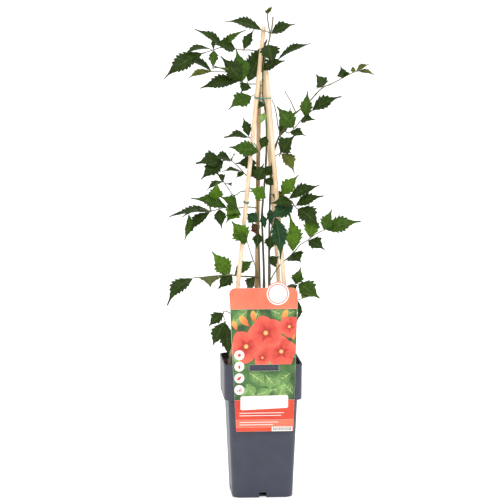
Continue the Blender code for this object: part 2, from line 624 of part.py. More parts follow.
def make_leaf(leaf, runs, name):
    """One leaflet: a toothed, folded and arched blade on a short stalk, as a thin solid."""
    start = nearest_on(runs, leaf.root)
    base, tip = turned(place(*start)), turned(place(*leaf.tip, start.z + leaf.reach))
    axis = tip - base
    length = axis.length
    axis.normalize()
    face, turn = math.radians(leaf.face), math.radians(leaf.turn)
    to_eye = Vector((math.sin(turn), -math.cos(turn), 0))
    up = turned(Vector((0, 0, math.cos(face))) + to_eye * math.sin(face))
    up = (up - axis * up.dot(axis)).normalized()
    side = axis.cross(up)
    width = leaf.wide * MM if leaf.wide else BLADE_PROPORTION * length
    teeth = SMALL_SIDE if width < SMALL_WIDTH else BLADE_SIDE

    def on_blade(share, across):
        lift = leaf.arch * length * 4 * share * (1 - share) + BLADE_FOLD * abs(across)
        return base + axis * (share * length) + side * across + up * lift

    middle = [on_blade(share, 0) for share in (STALK_END, *BLADE_RIB)] + [on_blade(1, 0)]
    left = [on_blade(STALK_END, STALK_HALF)]
    left += [on_blade(share, wide * width / 2) for share, wide in teeth]
    right = [on_blade(STALK_END, -STALK_HALF)]
    right += [on_blade(share, -wide * width / 2) for share, wide in teeth]
    roots = [on_blade(0, STALK_HALF), on_blade(0, -STALK_HALF)]
    points = middle + left + right + roots
    rib = list(range(len(middle)))
    first_left, first_right = len(middle), len(middle) + len(left)
    side_shares = [STALK_END] + [share for share, _ in teeth]
    rib_shares = [STALK_END, *BLADE_RIB, 1.0]
    top = []
    for first, mirrored in ((first_left, False), (first_right, True)):
        i = j = 0
        while i < len(side_shares) - 1 or j < len(rib) - 1:
            next_side = side_shares[i + 1] if i < len(side_shares) - 1 else 2
            next_rib = rib_shares[j + 1] if j < len(rib) - 1 else 2
            if next_side <= next_rib:
                face_corners = (rib[j], first + i, first + i + 1)
                i += 1
            else:
                face_corners = (rib[j], first + i, rib[j + 1])
                j += 1
            top.append(face_corners[::-1] if mirrored else face_corners)
    root_left, root_right = len(points) - 2, len(points) - 1
    top += [(root_left, first_left, rib[0]), (root_right, root_left, rib[0]),
            (first_right, root_right, rib[0])]
    edge = [root_left, *range(first_left, first_left + len(left)), rib[-1],
            *reversed(range(first_right, first_right + len(right))), root_right]
    count = len(points)
    solid = [p + up * BLADE_THICK / 2 for p in points] + [p - up * BLADE_THICK / 2 for p in points]
    faces = list(top) + [tuple(count + i for i in reversed(face_corners)) for face_corners in top]
    for a, b in zip(edge, edge[1:] + edge[:1]):
        faces += [(a, b, count + b), (a, count + b, count + a)]
    return add_object(name, solid, faces)


def make_plant(plant, material):
    """One stem with its branches, leaf stalks and leaflets, joined into one body."""
    parts = bpy.data.collections.new(plant.name + "_parts")
    bpy.context.scene.collection.children.link(parts)
    pieces = []
    for number, run in enumerate(plant.runs):
        points = [turned(place(*p)) for p in run.route]
        if number == 0:
            soil_point = points[0]
            points = [Vector((soil_point.x, soil_point.y, STEM_FOOT)),
                      Vector((soil_point.x, soil_point.y, SOIL_TOP + 3 * MM))] + points[1:]
            foot = points[0]
        shares = [k / (len(points) - 1) for k in range(len(points))]
        radii = [(run.start + (run.end - run.start) * share) * MM for share in shares]
        pieces.append(tube(f"{plant.name}_run_{number}", points, radii, run.sides))
    for number, leaf in enumerate(plant.leaves):
        pieces.append(make_leaf(leaf, plant.runs, f"{plant.name}_leaf_{number}"))
    trunk = pieces[0]
    for piece in pieces[1:]:
        bpy.context.scene.collection.objects.unlink(piece)
        parts.objects.link(piece)
    apply_boolean(trunk, parts, "UNION", many=True)
    drop(pieces[1:])
    bpy.data.collections.remove(parts)
    keep_largest(trunk)
    trunk.name = plant.name
    trunk.data.materials.clear()
    trunk.data.materials.append(material)
    return foot, plant.runs[0].start * MM


def main():
    """Build every piece."""
    clear_scene()
    make_pot()
    stake_tubes = make_stakes()
    make_ties()
    make_label()
    leaf_green = finish("green leaf", "3f6420", 0.4)
    feet = [make_plant(plant, leaf_green) for plant in PLANTS]
    make_soil(stake_tubes, feet)


main()
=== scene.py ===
"""Looks of the potted trumpet vine: finer leaves and stems, pot, soil, stakes, ties and card.

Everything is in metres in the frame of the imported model.  The plant repeats the growth plan of the
part: a sketch point is (across, down, away), squares across and down the front sketch and
millimetres behind the pot's axis, as seen from the eye that the sketch was drawn from.
"""

import logging
import math
from dataclasses import dataclass, field
from enum import Enum
from typing import Any, Dict, Iterable, List, NamedTuple, Optional, Sequence, Tuple

import bmesh
import bpy
import numpy as np
from mathutils import Matrix, Vector, noise

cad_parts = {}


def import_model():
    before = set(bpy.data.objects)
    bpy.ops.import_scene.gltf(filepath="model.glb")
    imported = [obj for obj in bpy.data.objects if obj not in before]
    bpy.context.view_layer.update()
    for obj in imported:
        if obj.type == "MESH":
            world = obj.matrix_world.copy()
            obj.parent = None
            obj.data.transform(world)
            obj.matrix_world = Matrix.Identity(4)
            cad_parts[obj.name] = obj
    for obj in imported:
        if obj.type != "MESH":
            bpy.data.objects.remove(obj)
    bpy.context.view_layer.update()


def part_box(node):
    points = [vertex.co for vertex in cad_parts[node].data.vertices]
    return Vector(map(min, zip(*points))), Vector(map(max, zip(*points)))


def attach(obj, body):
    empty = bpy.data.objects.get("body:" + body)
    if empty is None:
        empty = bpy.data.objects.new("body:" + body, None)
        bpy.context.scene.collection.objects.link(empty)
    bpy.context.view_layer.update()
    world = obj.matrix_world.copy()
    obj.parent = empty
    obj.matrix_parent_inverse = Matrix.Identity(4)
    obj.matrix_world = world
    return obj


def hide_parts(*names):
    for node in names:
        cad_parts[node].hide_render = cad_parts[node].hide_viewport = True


LOG = logging.getLogger("trumpet_vine")
MM = 0.001
BODY = "root"
Point2 = Tuple[float, float]
Point3 = Tuple[float, float, float]


class Tone(Enum):
    """The greens of the leaflets, from old shaded ones to thin young ones."""

    DARK = "273a0e"
    MID = "375313"
    BRIGHT = "4a6c14"
    OLIVE = "555c22"
    BLUE = "214226"
    PALE = "86a862"
    WITHERED = "4e2f1c"


class Layer(Enum):
    """Print layers of the card, from the ground colour outwards."""

    GROUND = 1
    PICTURE = 2
    LEAVES = 3
    BUDS = 4
    PETALS = 5
    PANELS = 6
    MARKS = 7


class Ink(NamedTuple):
    """One printed colour: two hex ends, the size of its cloud and whether it follows depth."""

    name: str
    low: str
    high: str
    cloud_mm: float = 60.0
    shaded: bool = False


class Motif(NamedTuple):
    """One leaf, bud or bloom of the card's picture, in mm and radians on the card."""

    x: float
    z: float
    size: float
    tilt: float


@dataclass(frozen=True)
class Run:
    """A stem, rachis or leaf stalk.

    Args:
        route: sketch points along its middle line.
        start: radius at its first point, in millimetres.
        end: radius at its last point, in millimetres.
    """

    route: Tuple[Point3, ...]
    start: float
    end: float


@dataclass(frozen=True)
class Leaf:
    """One leaflet of the growth plan.

    Args:
        root: sketch squares of its root.
        tip: sketch squares of its tip.
        reach: how far the tip lies behind the root, in millimetres.
        face: how far the upper side turns to the eye, in degrees (0 is up).
        tone: its green.
        wide: width in millimetres.
        turn: turn of the upper side about upright, in degrees.
        arch: rise of its middle as a share of its length.
    """

    root: Point2
    tip: Point2
    reach: float
    face: float
    tone: Tone
    wide: float
    turn: float = 0.0
    arch: float = 0.08


@dataclass(frozen=True)
class Plant:
    """One leafy stem, which stands for one node of the model."""

    node: str
    runs: Tuple[Run, ...]
    leaves: Tuple[Leaf, ...]


D, M, B, O, U, P, W = (Tone.DARK, Tone.MID, Tone.BRIGHT, Tone.OLIVE, Tone.BLUE, Tone.PALE,
                       Tone.WITHERED)

TOP = Plant("leafy_stem_top", (
    Run(((263, 368, 0), (264, 285, 0), (263, 247, 1), (262, 215, 1), (264, 190, 0), (266, 160, 0),
         (266.5, 130, -1), (265, 108, -1), (262.5, 95, -1), (262.6, 80, -3.5), (262.8, 68, -4.6),
         (265, 57, -5), (268, 45, -6), (270, 36, -7), (269, 28, -8), (267.5, 18, -9),
         (268, 12.5, -9)), 2.0, 0.9),
    Run(((262.6, 86, -2.5), (257, 84, -1.6), (250, 84, -1.6), (241, 82, -6), (231, 73.5, -14),
         (225, 72, -18), (212, 71.5, -24)), 1.0, 0.7),
    Run(((265, 57, -5), (262.5, 54, 0.5), (258, 52, 2), (250, 50, 0), (243, 50, -4), (236, 49, -8),
         (222, 47.5, -14), (213, 50, -18), (204, 53, -21)), 1.0, 0.7),
    Run(((262.8, 93, -1.5), (257, 93.5, -1.5), (252, 96, -6)), 0.9, 0.7),
    Run(((267, 50, -5.5), (272, 57, -9), (277, 60, -10)), 0.9, 0.7),
    Run(((269.5, 33, -7.2), (266, 31, -10), (262, 31, -13)), 0.8, 0.7),
    Run(((269.8, 35, -7), (272, 27, -6), (273, 17, -6)), 1.2, 1.1),
), (
    Leaf((204, 53), (163.5, 79.5), -12, 52, D, 27, 0, 0.12),
    Leaf((213, 50), (180, 59.5), -10, 26, D, 14, 0, 0.2),
    Leaf((214, 49.5), (213, 70), -18, 65, M, 13),
    Leaf((213.5, 49.5), (213, 38), 16, 80, M, 6),
    Leaf((224, 47.6), (194, 29), 0, 32, D, 17),
    Leaf((236, 49), (213, 44), -22, 58, D, 24),
    Leaf((220, 47.7), (246, 30), 4, 38, M, 13),
    Leaf((263, 31), (224, 21.5), -10, 48, D, 19, 0, 0.12),
    Leaf((243.5, 50), (254, 29.5), 5, 50, D, 14),
    Leaf((212, 71.5), (181, 57), 8, 25, D, 17),
    Leaf((243, 82.5), (236, 49), -8, 88, M, 27),
    Leaf((242, 82), (220, 55.5), -20, 68, D, 24),
    Leaf((230.5, 73.3), (232, 59), 25, 70, D, 14),
    Leaf((247, 83.5), (267.5, 38.5), 10, 88, D, 28, 0, 0.02),
    Leaf((212, 71.5), (187, 79), -24, 34, O, 15),
    Leaf((228, 72.8), (212, 68.5), -35, 12, D, 19),
    Leaf((240, 81), (199, 88.8), -12, 48, D, 24),
    Leaf((252, 96), (228, 110), -15, 66, M, 24, 0, 0.16),
    Leaf((248, 84), (241, 93), -14, 65, D, 17),
    Leaf((270, 34), (296, 24), -12, 52, D, 19),
    Leaf((268.5, 44), (272.5, 65), -24, 82, D, 27),
    Leaf((277, 60), (312, 43), -5, 28, D, 18),
    Leaf((262.8, 70), (285.5, 60.5), -24, 56, D, 21),
    Leaf((265.5, 112), (259.5, 126), -16, 80, P, 10),
    Leaf((264.3, 102), (257.5, 109), -16, 70, D, 11),
    Leaf((266.3, 136), (260, 151), -14, 75, D, 14),
    Leaf((265, 176), (273.5, 164), -4, 80, D, 15),
    Leaf((264.5, 179), (276, 186), -8, 60, D, 14),
    Leaf((262.3, 214), (265.5, 230), -5, 80, U, 10),
    Leaf((268, 14), (264.5, 9.5), -2, 60, O, 4),
    Leaf((268, 13.5), (272.5, 5.5), -3, 60, O, 5),
    Leaf((268, 13), (269, 6.5), -8, 60, M, 4),
))

RIGHT = Plant("leafy_stem_right", (
    Run(((270, 368, 9), (269, 300, 8), (269, 250, 8), (270, 200, 7), (272, 165, 5), (276, 145, 4),
         (280.5, 134, 3), (286, 127, 1), (291, 118, -2), (297, 112, -4), (308, 103, -8),
         (316, 94, -12), (323, 87.5, -15), (330, 84.5, -18), (337, 81, -20), (343, 77.8, -22),
         (352, 73, -25), (358, 71, -27)), 1.8, 0.7),
    Run(((284, 130, 1.5), (289, 133, -8), (295.5, 127, -14), (300, 121.5, -17), (306, 116, -20),
         (311, 111.5, -23)), 0.9, 0.7),
    Run(((296, 113, -4), (291, 102, -6), (285, 91.5, -8)), 0.9, 0.7),
    Run(((273, 158, 4.7), (277, 155, 2), (281, 153, -2)), 0.9, 0.7),
    Run(((280.2, 134, 3), (278, 126, 2), (276.5, 115, 1), (274.5, 106, 1.5), (271.8, 100, 2.5)),
        0.9, 0.7),
    Run(((270.3, 195, 6.8), (277, 194, 2), (284, 196, -6), (288, 199, -10), (292, 201.5, -14),
         (294.5, 206, -17), (297.5, 209, -19)), 1.0, 0.8),
), (
    Leaf((323, 87.5), (316, 74), -22, 75, D, 19),
    Leaf((343, 78), (340.5, 66), -14, 75, D, 15),
    Leaf((344, 77.5), (351, 73.5), -14, 50, M, 9),
    Leaf((355.5, 72), (370, 64), -10, 40, O, 11),
    Leaf((358, 71), (375, 75), -8, 35, O, 10),
    Leaf((353, 72.8), (353, 65.5), -6, 60, O, 7),
    Leaf((305, 117), (307.8, 90.5), -15, 88, M, 17),
    Leaf((311, 111.5), (342, 96.5), -10, 46, D, 22),
    Leaf((300.5, 121), (315, 119.5), -20, 55, D, 16),
    Leaf((290, 132.5), (306, 136), -20, 48, D, 15),
    Leaf((294, 128.5), (276.5, 106), -14, 80, M, 25),
    Leaf((278.8, 138), (291, 107.5), 15, 85, D, 15),
    Leaf((281, 153), (295, 135), -22, 66, D, 25),
    Leaf((280.5, 153), (294.5, 174), -12, 40, O, 19, 0, 0.26),
    Leaf((280, 135), (279, 158), 6, 88, D, 14, 60),
    Leaf((281, 195), (299, 174.5), -10, 75, B, 20),
    Leaf((288, 199), (320.5, 184.8), -10, 48, D, 21),
    Leaf((294.8, 206.3), (324.5, 195.8), -14, 46, D, 20),
    Leaf((272, 194.6), (289, 200.5), -10, 68, D, 16),
    Leaf((270.2, 208), (272, 228), -9, 80, U, 12),
    Leaf((294, 205.5), (267.5, 219), -22, 66, U, 24),
    Leaf((293, 203.5), (270, 203.5), -26, 62, D, 17),
    Leaf((297, 208.7), (320, 228), -20, 58, D, 28, 0, 0.18),
))

LEFT = Plant("leafy_stem_left", (
    Run(((259, 368, -10), (260, 300, -9), (259, 250, -8.5), (258, 215, -8), (257, 190, -7),
         (257, 170, -5), (258, 152, -3.5), (254, 143, -4), (249, 137, -8)), 1.8, 0.7),
    Run(((257, 177, -6), (250, 176, -6), (246, 175, -8), (240, 168.5, -14), (231, 160.5, -20),
         (223, 160.5, -24)), 1.0, 0.7),
    Run(((257, 193, -7), (250, 191, -8), (245, 191, -11), (240, 192, -18), (237, 194.5, -20),
         (233, 195, -22), (228, 188, -24), (223.5, 181.5, -26)), 1.0, 0.7),
    Run(((257.5, 208, -8), (249, 207, -10), (244, 207.5, -12), (238, 208, -20), (228, 208, -24),
         (222, 208, -26), (211, 211, -30), (200, 209, -33), (189, 213, -36)), 1.1, 0.7),
    Run(((222, 208, -26), (218.5, 204, -27), (216, 199, -28)), 0.9, 0.7),
    Run(((257.6, 156, -3.8), (260, 154, -14), (259, 152, -23)), 0.9, 0.7),
    Run(((257.6, 201, -7.6), (262, 200, -11), (266, 197, -15)), 0.9, 0.7),
    Run(((211, 211, -30), (209, 205, -32), (205.5, 200.5, -33)), 1.4, 1.3),
), (
    Leaf((249, 137), (243, 117.5), 8, 55, D, 13, 0, 0.16),
    Leaf((249.2, 137.2), (223.5, 137.5), -22, 36, D, 17),
    Leaf((259, 152), (228, 147), -12, 70, M, 23),
    Leaf((232, 161), (236.5, 153), -18, 45, D, 9),
    Leaf((231, 160.5), (213, 157), -24, 48, D, 20),
    Leaf((223, 160.5), (195.5, 163.5), -8, 52, D, 25),
    Leaf((224, 160.8), (200.5, 180), -18, 54, D, 24),
    Leaf((257.2, 163), (235.5, 163.5), -2, 70, D, 18),
    Leaf((244, 172.8), (221.5, 171.5), -22, 20, D, 15),
    Leaf((243.5, 173), (236, 178), -10, 35, M, 10),
    Leaf((223.5, 181.8), (217, 173.5), -16, 60, D, 12),
    Leaf((224.5, 182), (206, 191), -15, 28, D, 12, 0, 0.16),
    Leaf((226, 184), (232, 186), -20, 16, D, 11),
    Leaf((216, 199.5), (217, 181), -22, 78, B, 19),
    Leaf((228, 208), (190.5, 198), -10, 46, M, 22),
    Leaf((238, 208), (219.5, 196), -22, 58, M, 20),
    Leaf((236, 208), (226, 216), -30, 64, B, 20),
    Leaf((238, 208.1), (226, 223), -24, 72, B, 22),
    Leaf((219, 208.6), (221.8, 229), -18, 80, D, 17),
    Leaf((211, 211), (168.5, 217.5), -5, 24, D, 20),
    Leaf((200, 209), (182, 217), -20, 20, D, 15),
    Leaf((189, 213), (184.3, 241), -5, 85, M, 17, 50),
    Leaf((211, 211.2), (186, 235), -8, 30, D, 19),
    Leaf((258, 222), (246, 213), 8, 80, U, 17),
    Leaf((258.6, 235), (251.5, 221.5), 8, 75, W, 13),
    Leaf((259, 233), (256.5, 249), -15, 72, D, 15),
    Leaf((266, 197), (249, 187.5), -14, 78, B, 20),
    Leaf((257, 181), (264, 163), -12, 80, D, 18),
    Leaf((257, 180), (250.5, 162), 10, 84, D, 17),
))

LOW = Plant("leafy_stem_low", (
    Run(((258, 368, 10), (258, 330, 9), (260, 290, 6), (259, 280, 3), (255, 277, -2),
         (246, 276.5, -12), (238, 276, -18), (231, 275, -24), (220, 275.5, -32),
         (209, 276.5, -38), (200, 277.5, -42), (194, 277.5, -45)), 1.7, 0.8),
    Run(((259.8, 286, 5), (256.5, 270, -4), (252, 257, -18), (247, 241, -31)), 1.0, 0.7),
    Run(((258, 331, 9), (244, 321, -2), (233, 315, -14), (225.5, 311, -27), (223, 314, -37),
         (225.5, 322, -42.5)), 1.0, 0.7),
), (
    Leaf((247, 241), (231.5, 221), -8, 85, B, 26),
    Leaf((247.2, 242), (234, 235.5), -20, 66, M, 16),
    Leaf((230.5, 275), (211.5, 251), -10, 85, B, 25),
    Leaf((234, 275.5), (254, 260), 19, 55, M, 17),
    Leaf((194, 277.5), (167, 306), -10, 36, D, 24, 0, 0.18),
    Leaf((209.5, 276.5), (210.5, 287), -36, 36, O, 28, 0, 0.05),
    Leaf((232.5, 275.4), (218, 289), -14, 58, D, 21),
    Leaf((255, 277), (247, 289), 18, 64, D, 16),
    Leaf((223.6, 312.5), (208.5, 326.5), -6, 48, D, 19),
    Leaf((225, 321), (212.5, 346.5), 6, 62, D, 21),
    Leaf((225.6, 321.6), (229, 359), -1, 82, D, 20, 0, 0.03),
))

SIDE = Plant("leafy_stem_side", (
    Run(((275, 368, -9), (272, 330, -8), (270, 290, -8), (270, 270, -8), (269.5, 250, -8),
         (271, 232, -9), (273, 221, -14), (275, 215, -30)), 1.8, 0.8),
    Run(((270, 281, -8), (275, 272, -9), (281, 264, -14), (290, 256, -18), (296, 250, -22),
         (300, 245, -26), (308, 240, -30), (316, 234, -34), (324, 230, -38)), 1.1, 0.7),
    Run(((270.5, 300, -8), (282, 290, -8), (290, 285, -14), (298, 283.5, -20)), 1.0, 0.7),
    Run(((271, 311, -8), (284, 304, -10), (294, 301, -16), (301, 299, -20)), 1.0, 0.7),
), (
    Leaf((310, 238.5), (313, 213), 10, 95, B, 22),
    Leaf((324, 230), (332, 209), -14, 66, M, 18),
    Leaf((324, 230), (361.5, 221.5), -10, 60, M, 24),
    Leaf((308, 240), (325, 250), -18, 52, D, 21),
    Leaf((293.5, 252.5), (301, 262.5), -24, 58, D, 20),
    Leaf((287, 258.8), (299.5, 261.5), -24, 42, D, 17),
    Leaf((293, 253), (289.5, 213), -8, 88, B, 24, 25),
    Leaf((295.5, 284.2), (301, 267), -16, 75, M, 17),
    Leaf((297.5, 283.5), (320, 298.5), -12, 64, M, 27),
    Leaf((301, 299), (316.5, 296.5), -26, -25, O, 16),
    Leaf((291, 285), (293.5, 294), -22, 58, D, 15),
    Leaf((297.5, 300.2), (297, 322), -10, 88, D, 13, 50),
    Leaf((275, 215.3), (280, 260), -6, 80, U, 25, 25),
    Leaf((270.3, 236), (269.5, 252), -15, 75, D, 17),
    Leaf((270, 264), (279.5, 256), -13, 75, D, 17),
))
PLANTS = (TOP, RIGHT, LEFT, LOW, SIDE)


def linear(hex_colour: str) -> Tuple[float, float, float, float]:
    """Turn an sRGB hex colour into a linear colour with full alpha.

    Args:
        hex_colour: six hex digits.

    Returns:
        Red, green, blue and alpha.
    """
    values = [int(hex_colour[i:i + 2], 16) / 255 for i in (0, 2, 4)]
    red, green, blue = (v / 12.92 if v <= 0.04045 else ((v + 0.055) / 1.055) ** 2.4
                        for v in values)
    return red, green, blue, 1.0


def add_node(tree: bpy.types.NodeTree, kind: str, inputs: Optional[Dict[Any, Any]] = None,
             **settings: Any) -> bpy.types.Node:
    """Add one node with its settings and its links.

    Args:
        tree: the material's node tree.
        kind: the node's type name.
        inputs: a value or a socket to link for each input.
        settings: the node's own properties.

    Returns:
        The node.
    """
    node = tree.nodes.new(kind)
    for key, value in settings.items():
        setattr(node, key, value)
    for key, value in (inputs or {}).items():
        if isinstance(value, bpy.types.NodeSocket):
            tree.links.new(value, node.inputs[key])
        else:
            node.inputs[key].default_value = value
    return node


def set_stops(node: bpy.types.Node, stops: Sequence[Tuple[float, str]]) -> bpy.types.NodeSocket:
    """Set a colour ramp's stops and return its colour.

    Args:
        node: the colour ramp.
        stops: position and hex colour of each stop.

    Returns:
        The ramp's colour output.
    """
    ramp = node.color_ramp
    while len(ramp.elements) < len(stops):
        ramp.elements.new(0.5)
    for element, (position, colour) in zip(ramp.elements, stops):
        element.position = position
        element.color = linear(colour)
    return node.outputs["Color"]


@dataclass(frozen=True)
class Finish:
    """What every finish has: a name and the shader's own uniform values.

    Args:
        name: the material's name.
        rough: how rough the skin is, from 0 for a mirror to 1.
        ior: its refractive index.
        gloss: strength of its shine, where 0.5 is that of the index.
        relief: depth of its fine relief, in metres.
    """

    name: str
    rough: float = 0.5
    ior: float = 1.5
    gloss: float = 0.5
    relief: float = 0.0

    def start(self) -> Tuple[bpy.types.Material, bpy.types.NodeTree, bpy.types.Node]:
        """Start the material with the finish's uniform values.

        Returns:
            The material, its nodes and its shader.
        """
        material = bpy.data.materials.new(self.name)
        material.use_nodes = True
        tree = material.node_tree
        shader = tree.nodes["Principled BSDF"]
        shader.inputs["Roughness"].default_value = self.rough
        shader.inputs["IOR"].default_value = self.ior
        shader.inputs["Specular IOR Level"].default_value = self.gloss
        return material, tree, shader

    def position(self, tree: bpy.types.NodeTree) -> bpy.types.NodeSocket:
        """The surface point in the frame, in metres."""
        return add_node(tree, "ShaderNodeNewGeometry").outputs["Position"]

    def bump(self, tree: bpy.types.NodeTree, shader: bpy.types.Node,
             height: bpy.types.NodeSocket) -> None:
        """Link the fine relief to the shader."""
        node = add_node(tree, "ShaderNodeBump", {"Height": height, "Distance": self.relief})
        tree.links.new(node.outputs["Normal"], shader.inputs["Normal"])


@dataclass(frozen=True)
class MouldedPolypropylene(Finish):
    """Pot: polypropylene with filler, injection moulded, slate grey with a satin skin.

    The mould's fine spark texture dulls the gloss, and handling leaves faint pale scuffs.
    Soil dust and a painted shade darken the inner wall over the potting mix.
    """

    name: str = "moulded_polypropylene"
    rough: float = 0.42
    ior: float = 1.49
    relief: float = 0.06 * MM
    grain_mm: float = 0.6
    scuff_mm: float = 22.0
    deep: str = "2f3341"
    middle: str = "343847"
    pale: str = "3b3f4e"
    # Colour of the soil dust and painted shade on the inner wall, and the height where it starts.
    dust_and_shade: str = "1c130f"
    dust_and_shade_from: float = 160 * MM
    facing_in: float = -0.01

    def inside(self, tree: bpy.types.NodeTree) -> bpy.types.NodeSocket:
        """Mark the collar's inner wall, which stands high and faces the axis, for its dust and
        painted shade.

        Args:
            tree: the material's nodes.

        Returns:
            A value that is 1 on that wall and 0 elsewhere.
        """
        surface = add_node(tree, "ShaderNodeNewGeometry").outputs
        flat = add_node(tree, "ShaderNodeVectorMath", {0: surface["Position"], 1: (1, 1, 0)},
                        operation="MULTIPLY").outputs["Vector"]
        facing = add_node(tree, "ShaderNodeVectorMath", {0: flat, 1: surface["True Normal"]},
                          operation="DOT_PRODUCT").outputs["Value"]
        inward = add_node(tree, "ShaderNodeMath", {0: facing, 1: self.facing_in},
                          operation="LESS_THAN")
        height = add_node(tree, "ShaderNodeSeparateXYZ",
                          {"Vector": surface["Position"]}).outputs["Z"]
        high = add_node(tree, "ShaderNodeMath", {0: height, 1: self.dust_and_shade_from},
                        operation="GREATER_THAN")
        return add_node(tree, "ShaderNodeMath", {0: inward.outputs["Value"],
                                                 1: high.outputs["Value"]},
                        operation="MULTIPLY").outputs["Value"]

    def build(self) -> bpy.types.Material:
        """Make the material.

        Returns:
            The material.
        """
        material, tree, shader = self.start()
        point = self.position(tree)
        cloud = add_node(tree, "ShaderNodeTexNoise",
                         {"Vector": point, "Scale": 1 / (self.scuff_mm * MM), "Detail": 5.0})
        colour = add_node(tree, "ShaderNodeValToRGB", {"Fac": cloud.outputs["Fac"]})
        # Soil dust and painted shade: the inner wall is mixed towards a near-black brown.
        dusted_and_shaded = add_node(tree, "ShaderNodeMix", {"Factor": self.inside(tree),
                                                  "B": linear(self.dust_and_shade)}, data_type="RGBA")
        tree.links.new(
            set_stops(colour, ((0.25, self.deep), (0.55, self.middle), (0.85, self.pale))),
            dusted_and_shaded.inputs["A"])
        tree.links.new(dusted_and_shaded.outputs["Result"], shader.inputs["Base Color"])
        grain = add_node(tree, "ShaderNodeTexNoise",
                         {"Vector": point, "Scale": 1 / (self.grain_mm * MM), "Detail": 2.0})
        self.bump(tree, shader, grain.outputs["Fac"])
        return material


@dataclass(frozen=True)
class PottingMix(Finish):
    """Soil: peat and coir mix, loose and damp, nearly black with brown fibres and chips."""

    name: str = "potting_mix"
    rough: float = 0.95
    relief: float = 1.2 * MM
    crumb_mm: float = 3.0
    fines: float = 2.6

    def build(self) -> bpy.types.Material:
        """Make the material.

        Returns:
            The material.
        """
        material, tree, shader = self.start()
        point = self.position(tree)
        crumbs = add_node(tree, "ShaderNodeTexVoronoi",
                          {"Vector": point, "Scale": 1 / (self.crumb_mm * MM)})
        fine = add_node(tree, "ShaderNodeTexNoise",
                        {"Vector": point, "Scale": self.fines / (self.crumb_mm * MM),
                         "Detail": 6.0})
        tint = add_node(tree, "ShaderNodeMath", {0: crumbs.outputs["Color"],
                                                 1: fine.outputs["Fac"]}, operation="MULTIPLY")
        colour = add_node(tree, "ShaderNodeValToRGB", {"Fac": tint.outputs["Value"]})
        tree.links.new(set_stops(colour, ((0.05, "17110e"), (0.35, "33241c"), (0.62, "5e4433"))),
                       shader.inputs["Base Color"])
        self.bump(tree, shader, fine.outputs["Fac"])
        return material


@dataclass(frozen=True)
class SplitBamboo(Finish):
    """Stakes: split bamboo, cut and sanded, so pale fibres run along it under a dry matt skin.

    Each stake's foot is painted dark brown as shade, fading out a little above the pot's rim.
    """

    name: str = "split_bamboo"
    rough: float = 0.6
    relief: float = 0.25 * MM
    pale: str = "f3dcc0"
    middle: str = "e8cba6"
    deep: str = "c8a27a"
    # The dark brown of the painted shade at each stake's foot.
    foot_shade: str = "3a281c"
    fibre_mm: float = 0.9
    fibre_squeeze: float = 0.03
    patches: float = 16.0
    # Top of the painted shade at the foot, its fade and its strength.
    foot_shade_to: float = 224 * MM
    foot_shade_fade: float = 12 * MM
    foot_shade_share: float = 0.85

    def build(self) -> bpy.types.Material:
        """Make the material.

        Returns:
            The material.
        """
        material, tree, shader = self.start()
        point = self.position(tree)
        along = add_node(tree, "ShaderNodeMapping",
                         {"Vector": point, "Scale": (1.0, 1.0, self.fibre_squeeze)})
        fibres = add_node(tree, "ShaderNodeTexNoise",
                          {"Vector": along.outputs["Vector"],
                           "Scale": 1 / (self.fibre_mm * MM), "Detail": 4.0})
        patches = add_node(tree, "ShaderNodeTexNoise", {"Vector": point, "Scale": self.patches})
        both = add_node(tree, "ShaderNodeMath", {0: fibres.outputs["Fac"],
                                                 1: patches.outputs["Fac"]}, operation="ADD")
        half = add_node(tree, "ShaderNodeMath", {0: both.outputs["Value"], 1: 0.5},
                        operation="MULTIPLY")
        colour = add_node(tree, "ShaderNodeValToRGB", {"Fac": half.outputs["Value"]})
        height = add_node(tree, "ShaderNodeSeparateXYZ", {"Vector": point}).outputs["Z"]
        # Painted shade: the stake is mixed towards dark brown low down, fading out above the pot's
        # rim.
        foot_shade = add_node(tree, "ShaderNodeMapRange",
                        {"Value": height, "From Min": self.foot_shade_to - self.foot_shade_fade,
                         "From Max": self.foot_shade_to, "To Min": self.foot_shade_share, "To Max": 0.0})
        foot_shaded = add_node(tree, "ShaderNodeMix", {"Factor": foot_shade.outputs["Result"],
                                                   "B": linear(self.foot_shade)}, data_type="RGBA")
        tree.links.new(
            set_stops(colour, ((0.36, self.deep), (0.48, self.middle), (0.60, self.pale))),
            foot_shaded.inputs["A"])
        tree.links.new(foot_shaded.outputs["Result"], shader.inputs["Base Color"])
        self.bump(tree, shader, fibres.outputs["Fac"])
        return material


@dataclass(frozen=True)
class CoatedWire(Finish):
    """Ties: steel wire in a green vinyl coat, drawn smooth, so it has a soft even gloss."""

    name: str = "vinyl_coated_wire"
    rough: float = 0.35
    ior: float = 1.53
    patches: float = 90.0
    deep: str = "23655b"
    pale: str = "3a8a7c"

    def build(self) -> bpy.types.Material:
        """Make the material.

        Returns:
            The material.
        """
        material, tree, shader = self.start()
        cloud = add_node(tree, "ShaderNodeTexNoise",
                         {"Vector": self.position(tree), "Scale": self.patches})
        colour = add_node(tree, "ShaderNodeValToRGB", {"Fac": cloud.outputs["Fac"]})
        tree.links.new(set_stops(colour, ((0.35, self.deep), (0.65, self.pale))),
                       shader.inputs["Base Color"])
        return material


